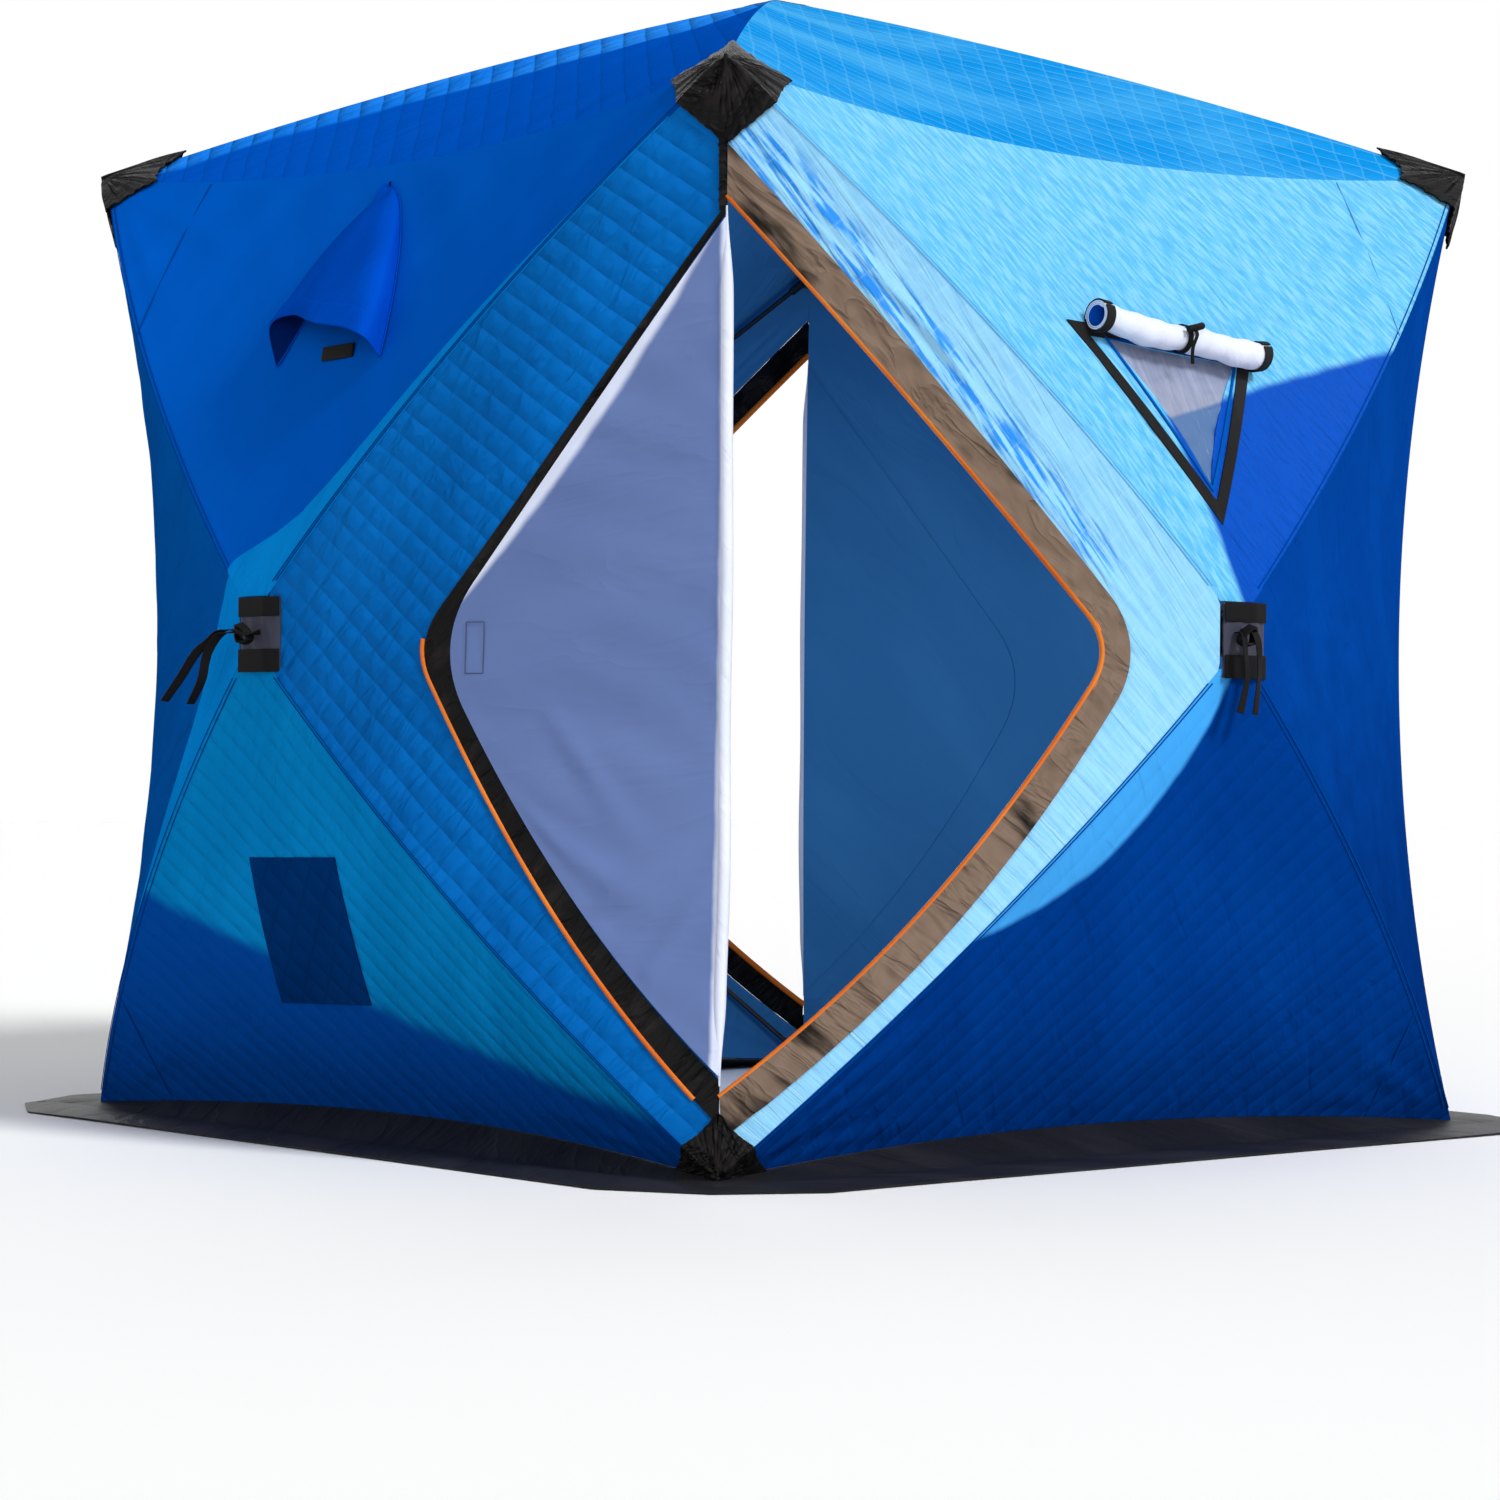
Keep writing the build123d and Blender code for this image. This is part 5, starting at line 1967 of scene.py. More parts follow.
@dataclass
class SnowSkirts:
    """Black cloth that lies on the ice round the shelter."""

    maker: Maker
    bend_reach: float = 0.040
    reach: float = 0.190
    tip_reach: float = 0.100
    corner_run: float = 0.060
    thickness: float = 0.003
    hang_share: float = 0.3
    mesh: Mesh = Mesh(150, 22)

    def build(self) -> None:
        form = self.maker.form
        half = form.sizes.half_wall
        bend, tip, far = half + self.bend_reach, half + self.tip_reach, half + self.reach
        near = half - self.corner_run
        waves = Ripple(90.0, 0.22, 0.0025, 71)

        def place(across: Array, along: Array) -> Placed:
            """Hang from the hem, then lie on the ice."""
            hem = form.bottom.at(across, np.ones_like(across), -0.002)
            fold_x = -bend + 2 * bend * across
            ground = np.full_like(fold_x, self.thickness)
            fold = np.stack([fold_x, np.full_like(fold_x, -bend), ground], axis=1)
            edge_x = -tip + 2 * tip * across
            inner = np.clip((tip - np.abs(edge_x)) / (tip - near), 0, 1)
            edge = np.stack([edge_x, -(tip + (far - tip) * inner), ground], axis=1)
            hang = np.clip(along / self.hang_share, 0, 1)[:, None]
            lie = np.clip((along - self.hang_share) / (1 - self.hang_share), 0, 1)[:, None]
            hanging = along[:, None] < self.hang_share
            points = np.where(hanging, hem + (fold - hem) * hang, fold + (edge - fold) * lie)
            ripple = waves.height(points[:, 0], points[:, 1] * 0.4)
            points[:, 2] += np.abs(ripple) * 1.6 * lie[:, 0] + 0.004 * np.sin(np.pi * lie[:, 0])
            points[:, 1] += ripple * 2.2 * lie[:, 0]
            ways = np.tile(np.array([0.0, -0.5, 1.0]), (len(points), 1))
            return points, ways, np.stack([points[:, 0], along * 0.3], axis=1)

        piece = spread_points("front_skirt", self.mesh, place)
        apply_modifier(piece, "SOLIDIFY", thickness=self.thickness * 0.9, offset=-1.0)
        smooth(piece)
        pieces = all_round(piece)
        for each in pieces:
            self.maker.hand_over(each, [f"{each.name.split('_')[0]}_snow_skirt"], Finish.SKIRT)
        declare(pieces, (1.95, 0.26), "laid")


def loop_shares(sector: Sector, corners: Sequence[Spot], steps: int = 300) -> Array:
    """A closed line of a sector's shares through some corners.

    Args:
        sector: the sector.
        corners: places on the sector's two axes.
        steps: how finely the line is divided.

    Returns:
        Rows of shares, the last like the first.
    """
    loop = np.array([*corners, corners[0]])
    marks = run_lengths(loop)
    where = np.linspace(0, marks[-1], steps + 1)
    for mark in marks[1:-1]:
        where[np.argmin(np.abs(where - mark))] = mark
    return np.stack(sector.locate(*read_off(where, marks, loop)), axis=1)


def between_loops(outer: Array, inner: Array) -> ShareMap:
    """The share map of a piece that lies between two closed lines."""
    marks = np.linspace(0, 1, len(outer))

    def mapped(round_share: Array, along: Array) -> Shares:
        """Blend from the outer line to the inner."""
        far, near = read_off(round_share, marks, outer), read_off(round_share, marks, inner)
        return far[0] + (near[0] - far[0]) * along, far[1] + (near[1] - far[1]) * along

    return mapped


def moved_in(corners: Sequence[Spot], inset: float) -> list[tuple[float, float]]:
    """A closed outline with its sides moved inwards.

    Args:
        corners: its corners.
        inset: how far its sides are moved.

    Returns:
        The new corners.
    """
    points = np.array(corners)
    middle = points.mean(axis=0)
    result = []
    for before, here, after in zip(np.roll(points, 1, axis=0), points, np.roll(points, -1, axis=0)):
        first, second = unit(np.array([here - before, after - here]))
        bisector = second - first
        bisector /= np.linalg.norm(bisector)
        bisector *= np.sign(bisector @ (middle - here))
        result.append(tuple(here + bisector * inset / abs(first[0] * bisector[1] - first[1] * bisector[0])))
    return result


def ribbon(name: str, line: Array, sides: Array, width: float, thickness: float, wall: WallPlace) -> Piece:
    """A flat band of webbing or tape along a line.

    Args:
        name: the piece's name.
        line: its middle line, in the front wall's place.
        sides: the direction of its width at each point of the line.
        width: its width.
        thickness: its thickness.
        wall: the wall it belongs to.

    Returns:
        The band.
    """
    count = len(line) - 1
    sides = unit(sides)
    faces = unit(np.cross(np.gradient(line, axis=0), sides))
    runs = run_lengths(line)

    def place(across: Array, along: Array) -> Placed:
        """Lay the band along its line."""
        index = np.clip(np.round(along * count).astype(int), 0, count)
        offset = (across - 0.5) * width
        points = line[index] + sides[index] * offset[:, None]
        return wall.put(points), wall.put(faces[index]), np.stack([offset, runs[index]], axis=1)

    piece = spread_points(name, Mesh(4, count), place)
    apply_modifier(piece, "SOLIDIFY", thickness=thickness, offset=0.0)
    apply_modifier(piece, "BEVEL", width=thickness * 0.3, segments=2, limit_method="ANGLE")
    smooth(piece)
    return piece


def flowing(corners: Sequence[Sequence[float]], steps: int = 12) -> Array:
    """A smooth line through some points.

    Args:
        corners: the points.
        steps: how many pieces each stretch has.

    Returns:
        The line's points.
    """
    count = len(corners)
    return knot_weights(count, np.linspace(0, 1, steps * (count - 1) + 1)).T @ np.array(corners, float)


def knot_weights(count: int, share: Array) -> Array:
    """Weights of the evenly spaced knots of a smooth line.

    Args:
        count: how many knots it has.
        share: places along it, from 0 to 1.

    Returns:
        One row for each knot and one column for each place.
    """
    place = np.clip(share, 0, 1) * (count - 1)
    index = np.minimum(place.astype(int), count - 2)
    rest = place - index
    weights = np.zeros((count, len(share)))
    for step, weight in (
        (-1, 0.5 * (2 * rest**2 - rest - rest**3)), (0, 0.5 * (2 - 5 * rest**2 + 3 * rest**3)),
        (1, 0.5 * (rest + 4 * rest**2 - 3 * rest**3)), (2, 0.5 * (rest**3 - rest**2)),
    ):
        np.add.at(weights, (np.clip(index + step, 0, count - 1), np.arange(len(share))), weight)
    return weights


@dataclass
class VentHoods:
    """The hooded vents of the front and back walls, with their screens and tabs.

    The hood's knots go from its mouth to its crown, and each row from its left edge to its right. A knot is
    given by its place along the wall, its height and how far it stands out.
    """

    maker: Maker
    thickness: float = 0.003
    lip_share: float = 0.17
    lip_lift: float = 0.0014
    hem_width: float = 0.009
    hem_thickness: float = 0.0016
    tab_width: float = 0.088
    tab_thickness: float = 0.004
    knots: tuple = (
        ((-0.115, 1.304, 0.003), (-0.112, 1.352, 0.046), (-0.040, 1.362, 0.060), (0.062, 1.330, 0.068),
         (0.168, 1.318, 0.066), (0.200, 1.310, 0.046), (0.190, 1.298, 0.003)),
        ((-0.100, 1.341, 0.003), (-0.098, 1.388, 0.045), (-0.028, 1.394, 0.057), (0.052, 1.378, 0.062),
         (0.146, 1.368, 0.061), (0.186, 1.358, 0.043), (0.174, 1.350, 0.003)),
        ((-0.078, 1.430, 0.003), (-0.082, 1.452, 0.036), (-0.024, 1.456, 0.047), (0.042, 1.448, 0.052),
         (0.110, 1.440, 0.050), (0.147, 1.434, 0.035), (0.142, 1.424, 0.003)),
        ((-0.062, 1.510, 0.003), (-0.060, 1.528, 0.024), (-0.016, 1.532, 0.033), (0.020, 1.530, 0.036),
         (0.062, 1.524, 0.034), (0.090, 1.516, 0.022), (0.092, 1.506, 0.003)),
        ((-0.050, 1.582, 0.003), (-0.046, 1.590, 0.008), (-0.030, 1.592, 0.010), (-0.012, 1.592, 0.011),
         (0.006, 1.590, 0.010), (0.020, 1.586, 0.007), (0.028, 1.580, 0.003)),
        ((-0.049, 1.622, 0.003), (-0.046, 1.623, 0.003), (-0.043, 1.624, 0.003), (-0.040, 1.624, 0.003),
         (-0.037, 1.623, 0.003), (-0.034, 1.622, 0.003), (-0.031, 1.620, 0.003)),
    )

    def grid(self) -> Array:
        """The knots' places in space."""
        sector = self.maker.form.top
        rows = np.array(self.knots)
        shares = sector.locate(rows[:, :, 0].ravel(), rows[:, :, 1].ravel())
        return (sector.at(*shares) + sector.normal(*shares) * rows[:, :, 2].reshape(-1, 1)).reshape(*rows.shape)

    def surface(self, grid: Array, across: Array, upward: Array, lift: float) -> Array:
        """Places on the hood, with its creases.

        Args:
            grid: the knots.
            across: shares from its left edge to its right.
            upward: shares from its mouth to its crown.
            lift: how far above the cloth.

        Returns:
            One row for each place.
        """
        rows, columns = knot_weights(len(grid), upward), knot_weights(len(grid[0]), across)
        points = on_net(rows, columns, grid)
        pinned = 4 * across * (1 - across)
        crease = 0.0022 * np.sin(across * 17 + upward * 4) * (1 - upward) + 0.0018 * np.sin(across * 9 - upward * 14)
        points[:, 1] -= crease * pinned + lift * (0.3 + 0.7 * pinned)
        points[:, 2] += 0.004 * np.sin(across * 15.0) * (1 - upward) ** 6 * pinned
        return points

    def build(self) -> None:
        """Build and dress hoods, lips, hems, tabs and screens."""
        grid = self.grid()

        def shell(low: float, high: float, lift: float) -> Rule:
            """The rule that shapes a level band of the hood."""

            def place(across: Array, along: Array) -> Placed:
                """Lay the cloth over the knots."""
                points = self.surface(grid, across, low + (high - low) * along, lift)
                return points, np.tile([0.0, -1.0, 0.2], (len(points), 1)), points[:, [0, 2]]

            return place

        cloth = spread_points("front_vent_hood", Mesh(96, 80), shell(0.0, 1.0, 0.0))
        line_with_second_cloth(cloth, self.thickness)
        declare(self.maker.pair(cloth, ["vent_hoods"], Finish.HOOD, Finish.SHADOW), (0.42, 0.36), "hung")
        lip = spread_points("front_vent_lip", Mesh(96, 8), shell(0.0, self.lip_share, self.lip_lift))
        apply_modifier(lip, "SOLIDIFY", thickness=self.thickness, offset=-0.6)
        apply_modifier(lip, "BEVEL", width=0.0008, segments=2, limit_method="ANGLE")
        smooth(lip)
        self.maker.pair(lip, ["vent_hoods"], Finish.HOOD)
        for label, share in (("left", 0.0), ("right", 1.0)):
            line = self.surface(grid, np.full(60, share), np.linspace(0, 1, 60), 0.003)
            sides = np.tile([1.0, 0.0, share - 0.5], (60, 1))
            hem = ribbon(f"front_vent_hem_{label}", line, sides, self.hem_width, self.hem_thickness, FRONT)
            self.maker.pair(hem, ["vent_hoods"], Finish.HOOD)
        self.build_tab()
        screen = filled_hole("front_vent_screen", self.maker.form.top, FRONT, VENT_CORNERS, 0.0)
        declare(self.maker.pair(screen, ["vent_screens"], Finish.SHADOW), (0.21, 0.19), "stretched")

    def build_tab(self) -> None:
        """Fix the hook-and-loop tab that holds the mouth shut."""
        sector = self.maker.form.top
        share = np.linspace(0, 1, 8)
        line = sector.at(*sector.locate(0.060 - 0.010 * share, 1.304 + 0.024 * share), 0.004)
        sides = np.tile([1.0, 0.0, 0.02], (8, 1))
        tab = ribbon("front_vent_tab", line, sides, self.tab_width, self.tab_thickness, FRONT)
        self.maker.pair(tab, [], Finish.TAPE)


def filled_hole(name: str, sector: Sector, wall: WallPlace, corners: Sequence[Spot], crease: float) -> Piece:
    """A pane or screen across a hole in a sector.

    Args:
        name: the piece's name.
        sector: the sector.
        wall: the wall.
        corners: the hole's corners.
        crease: how far the pane is creased.

    Returns:
        The piece.
    """
    loop = loop_shares(sector, corners)
    middle = np.tile(loop[:-1].mean(axis=0), (len(loop), 1))
    relief = Relief(ripples=(Ripple(80.0, 0.035, crease, 5), Ripple(60.0, 0.06, crease, 6)), pin_reach=0.015)
    mesh = Mesh(300, 18, ring=True)
    return lay_cloth(name, sector, between_loops(loop, middle), mesh, relief, wall, lift=-0.0022, thickness=0.0008)


@dataclass
class Windows:
    """The pointed windows: pane, bound edge, hook-and-loop border and rolled-up flap."""

    maker: Maker
    border: tuple = ((-0.182, 1.349), (0.262, 1.355), (0.006, 1.034))
    border_width: float = 0.022
    roll_radius: float = 0.026
    roll_length: float = 0.38
    roll_ends: tuple = ((0.216, 1.351), (-0.164, 1.313))
    toggle_points: tuple = ((-0.016, -0.004, 0.004), (0.0, -0.007, 0.0), (0.016, -0.004, -0.004))
    toggle_radius: float = 0.006
    tail_points: tuple = ((0.0, 0.0, 0.0), (0.004, -0.012, -0.012), (0.012, -0.010, -0.035), (0.008, -0.006, -0.060))
    tail_width: float = 0.007
    tail_thickness: float = 0.0016

    def build(self) -> None:
        """Build and dress every piece of both windows."""
        pane = filled_hole("right_window_pane", self.maker.form.top, RIGHT, PANE_CORNERS, 0.0016)
        declare(self.maker.pair(pane, ["window_panes"], Finish.FILM), (0.30, 0.23), "stretched")
        waved = Relief(ripples=(Ripple(40.0, 0.06, 0.0015, 12),), pin_reach=0.001)
        inner = moved_in(self.border, self.border_width)
        self.frame("window_border", self.border, inner, ["window_borders"], waved, Finish.TAPE)
        binding = moved_in(PANE_CORNERS, -0.002), moved_in(PANE_CORNERS, 0.0025)
        self.frame("window_binding", *binding, [], Relief(), Finish.SHADED)
        self.build_roll()

    def frame(
        self, label: str, outer: Sequence, inner: Sequence, nodes: Sequence[str], relief: Relief, look: Finish
    ) -> None:
        """A closed band of tape on the wall.

        Args:
            label: the piece's name without its wall's.
            outer: its outer corners.
            inner: its inner corners.
            nodes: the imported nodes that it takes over.
            relief: what lifts it.
            look: its finish.
        """
        sector = self.maker.form.top
        shares = between_loops(loop_shares(sector, outer), loop_shares(sector, inner))
        mesh = Mesh(300, 4, ring=True)
        band = lay_cloth(f"right_{label}", sector, shares, mesh, relief, RIGHT, lift=0.0028, thickness=0.0022)
        self.maker.pair(band, nodes, look, look)

    def axis(self) -> Placed:
        """The roll's left end, its run and its direction away from the wall."""
        sector = self.maker.form.top
        (first, start), (second, end) = self.roll_ends
        left, right, above = sector.at(*sector.locate(
            np.array([second, first, second]), np.array([end, start, end + self.roll_radius])
        ))
        out = np.cross(right - left, above - left)
        out /= np.linalg.norm(out)
        return left + out * (self.roll_radius + 0.003), right - left, out

    def roll_piece(self, name: str, low: float, high: float, swell: float, turns: float, mesh: Mesh) -> Piece:
        """A stretch of the rolled flap.

        Args:
            name: the piece's name.
            low: where it starts along the roll.
            high: where it ends.
            swell: how far it stands off the roll.
            turns: how many times it is wound.
            mesh: how finely it is meshed.

        Returns:
            The wound cloth.
        """
        left, run, out = self.axis()
        up = np.cross(out, run / np.linalg.norm(run))
        up *= np.sign(up[2])
        chance = np.random.default_rng(17)
        phases = chance.uniform(0, 6, 4)

        def place(across: Array, along: Array) -> Placed:
            """Wind the flap."""
            where = low + (high - low) * along
            angle = across * turns * 2 * np.pi + 0.4
            grow = self.roll_radius * (1.0 - 0.11 * (turns - angle / (2 * np.pi)) if turns > 1 else 1.0)
            slack = 1 + 0.05 * np.sin(where * 21 + phases[0]) + 0.04 * np.sin(where * 47 + angle + phases[1])
            slack *= 1 - 0.14 * np.exp(-(((where - 0.5) * self.roll_length) / 0.018) ** 2)
            radius = grow * slack * 0.93 + swell
            sag = -0.006 * np.sin(np.pi * where) + 0.003 * np.sin(where * 11 + phases[2])
            centre = left + run * where[:, None] + up * sag[:, None]
            spoke = out * np.cos(angle)[:, None] + up * np.sin(angle)[:, None]
            flat = np.stack([where * self.roll_length, angle * self.roll_radius], axis=1)
            return RIGHT.put(centre + spoke * radius[:, None]), RIGHT.put(spoke), flat

        piece = spread_points(name, mesh, place)
        line_with_second_cloth(piece, 0.0022)
        return piece

    def build_roll(self) -> None:
        """Wind the flap, with black tape at both ends and a tie round its middle."""
        roll = self.roll_piece("right_window_roll", 0.0, 1.0, 0.0, 2.4, Mesh(110, 60))
        declare(self.maker.pair(roll, ["window_rolled_flaps"], Finish.HEM, Finish.ROYAL), (0.42, 0.42), "folded")
        for label, low, high in (("near", 0.0, 0.05), ("far", 0.955, 1.0)):
            band = self.roll_piece(f"right_roll_tape_{label}", low, high, 0.0024, 0.97, Mesh(48, 6))
            self.maker.pair(band, [], Finish.TAPE, Finish.TAPE)
        tie = self.roll_piece("right_roll_tie", 0.488, 0.512, 0.003, 0.97, Mesh(48, 4))
        left, run, out = self.axis()
        middle = left + run * 0.5 + out * (self.roll_radius + 0.004)
        tail, bar = flowing(middle + np.array(self.tail_points)), flowing(middle + np.array(self.toggle_points))
        knot = tube("right_roll_toggle", bar, self.toggle_radius, 12, RIGHT)
        sides = np.tile([1.0, 0.1, 0.0], (len(tail), 1))
        strand = ribbon("right_roll_strand", tail, sides, self.tail_width, self.tail_thickness, RIGHT)
        for piece in (tie, knot, strand):
            self.maker.pair(piece, [], Finish.WEBBING, Finish.WEBBING)


@dataclass
class HubDress:
    """Patches over the hubs and the knotted webbing that pulls each wall hub out.

    The tails' and the knot's points are given from the middle of a patch's face. A patch's edges fall back beyond
    its flat middle.
    """

    maker: Maker
    stand_out: float = 0.006
    webbing_width: float = 0.015
    webbing_thickness: float = 0.0018
    knot_thickness: float = 0.004
    patch_size: tuple[float, float] = (0.104, 0.122)
    patch_shift: float = 0.018
    patch_drop: float = 0.008
    puff: float = 0.003
    puff_reach: float = 0.008
    flat_half: tuple[float, float] = (0.038, 0.053)
    edge_falls: tuple[float, float] = (0.22, 0.18)
    padding: float = 0.004
    band_heights: tuple[float, float] = (0.032, 0.038)
    band_shifts: tuple[float, float] = (0.375, -0.350)
    swung_tails: tuple = (
        ((0.039, -0.008, -0.004), (0.028, -0.026, -0.008), (0.008, -0.036, -0.001), (-0.018, -0.048, -0.004),
         (-0.041, -0.056, -0.021), (-0.070, -0.062, -0.040), (-0.111, -0.064, -0.079), (-0.162, -0.062, -0.117)),
        ((0.025, -0.024, -0.008), (0.008, -0.038, -0.005), (-0.015, -0.050, -0.009), (-0.035, -0.054, -0.026),
         (-0.049, -0.056, -0.050), (-0.063, -0.054, -0.083), (-0.099, -0.052, -0.122)),
    )
    hung_tails: tuple = (
        ((-0.004, -0.002, 0.010), (-0.010, -0.022, 0.006), (-0.012, -0.032, -0.022), (-0.014, -0.030, -0.070),
         (-0.008, -0.028, -0.128)),
        ((0.006, -0.002, 0.004), (0.012, -0.020, 0.000), (0.018, -0.030, -0.030), (0.014, -0.029, -0.075),
         (0.026, -0.026, -0.126)),
    )
    knot_points: tuple = (
        (-0.016, -0.016, 0.010), (-0.004, -0.024, 0.014), (0.010, -0.020, 0.004), (0.014, -0.014, -0.010),
        (0.0, -0.022, -0.016), (-0.014, -0.018, -0.006), (-0.016, -0.016, 0.010),
    )
    swung_knot_shift: tuple[float, float, float] = (0.010, -0.004, -0.006)

    def build(self) -> None:
        """Build and dress patches and straps."""
        sizes = self.maker.form.sizes
        face = -sizes.half_wall - sizes.hub_reach - self.stand_out
        width, height = self.patch_size
        self.sew_round(self.patch("front_hub_patch", self.patch_size, face), Finish.PATCH)
        for label, band_height, shift in zip(("upper", "lower"), self.band_heights, self.band_shifts):
            level = sizes.hub_height - self.patch_drop + height * shift
            self.sew_round(self.band(f"front_hub_band_{label}", width, band_height, face, level), Finish.WEBBING)
        self.build_roof_patch()
        self.build_straps(np.array([0.0, face, sizes.hub_height]))

    def sew_round(self, piece: Piece, finish: Finish) -> None:
        """Sew a piece on every wall's hub."""
        for each in all_round(piece):
            self.maker.hand_over(each, ["hub_patches"], finish, finish)

    def patch(self, name: str, size: tuple[float, float], face: float) -> Piece:
        """A padded patch with rounded edges.

        Args:
            name: the piece's name.
            size: its width and height.
            face: how far out it stands.

        Returns:
            The patch.
        """
        height = self.maker.form.sizes.hub_height - self.patch_drop

        def place(across: Array, along: Array) -> Placed:
            """Puff the patch between its sewn edges."""
            x, z = (across - 0.5) * size[0] + self.patch_shift, (along - 0.5) * size[1]
            edge = np.minimum(np.minimum(across, 1 - across) * size[0], np.minimum(along, 1 - along) * size[1])
            depth = self.puff * ease(edge, self.puff_reach) + 0.0012 * np.sin(x * 160 + z * 60) * ease(edge, 0.02)
            points = np.stack([x, face + self.puff - depth + self.fall(x, 0) + self.fall(z, 1), height + z], axis=1)
            return points, np.tile([0.0, -1.0, 0.0], (len(points), 1)), np.stack([x, z], axis=1)

        piece = spread_points(name, Mesh(28, 36), place)
        line_with_second_cloth(piece, self.padding)
        return piece

    def fall(self, off: Array, axis: int) -> Array:
        """How far a patch's face falls back at distances from its middle, across it or up it."""
        return self.edge_falls[axis] * np.maximum(np.abs(off) - self.flat_half[axis], 0)

    def band(self, name: str, width: float, height: float, face: float, level: float) -> Piece:
        """A band of webbing sewn across a patch.

        Args:
            name: the piece's name.
            width: its length across the patch.
            height: its height.
            face: how far out the patch stands.
            level: its middle's height.

        Returns:
            The band.
        """
        along = np.linspace(-0.5, 0.5, 24) * width * 1.02 + self.patch_shift
        line = np.stack([along, face - 0.0012 + self.fall(along, 0), np.full_like(along, level)], axis=1)
        return ribbon(name, line, np.tile([0.0, 0.0, 1.0], (24, 1)), height, self.webbing_thickness, FRONT)

    def build_roof_patch(self) -> None:
        """Sew the patch over the roof's hub."""
        sizes = self.maker.form.sizes
        half = sizes.roof_patch_half

        def place(across: Array, along: Array) -> Placed:
            """Puff the patch between its sewn edges."""
            x, y = (across - 0.5) * 2.1 * half, (along - 0.5) * 2.1 * half
            edge = np.minimum(np.minimum(across, 1 - across), np.minimum(along, 1 - along)) * 2 * half
            depth = self.puff * ease(edge, self.puff_reach) + 0.0008 * np.sin(x * 120 + y * 70) * ease(edge, 0.02)
            points = np.stack([x, y, sizes.peak_height + depth], axis=1)
            return points, np.tile([0.0, 0.0, 1.0], (len(points), 1)), np.stack([x, y], axis=1)

        piece = spread_points("roof_hub_patch", Mesh(28, 28), place)
        line_with_second_cloth(piece, self.padding)
        self.maker.hand_over(piece, ["hub_patches"], Finish.PATCH, Finish.PATCH)

    def build_straps(self, root: Array) -> None:
        """Knot webbing to each wall hub's patch and let its two tails hang.

        Args:
            root: the middle of the front patch's face.
        """
        for wall, tails, shift in (
            (FRONT, self.swung_tails, np.array(self.swung_knot_shift)), (RIGHT, self.hung_tails, np.zeros(3)),
        ):
            for number, tail in enumerate(tails, start=1):
                line = flowing([root + np.array(point) for point in tail])
                share = np.linspace(0, 1, len(line))
                twist = 1.2 if wall is FRONT else 0.0
                twist = twist + 0.3 * np.sin(share * 5 + number)
                sides = np.stack([np.cos(twist), np.sin(twist), 0.15 * np.sin(share * 7)], axis=1)
                steps = unit(np.gradient(line, axis=0))
                sides -= steps * np.sum(sides * steps, axis=1)[:, None]
                self.tie_on(f"{wall.name}_strap_tail_{number}", line, sides, self.webbing_thickness, wall)
            loop = flowing([root + shift + np.array(point) for point in self.knot_points])
            sides = np.cross(np.gradient(loop, axis=0), loop - loop.mean(axis=0))
            self.tie_on(f"{wall.name}_strap_knot", loop, sides, self.knot_thickness, wall)

    def tie_on(self, name: str, line: Array, sides: Array, thickness: float, wall: WallPlace) -> None:
        """Make a length of webbing, and its twin.

        Args:
            name: its name.
            line: its middle line.
            sides: the direction of its width at each point of the line.
            thickness: its thickness.
            wall: the wall.
        """
        webbing = ribbon(name, line, sides, self.webbing_width, thickness, wall)
        self.maker.pair(webbing, ["hub_pull_straps"], Finish.WEBBING)


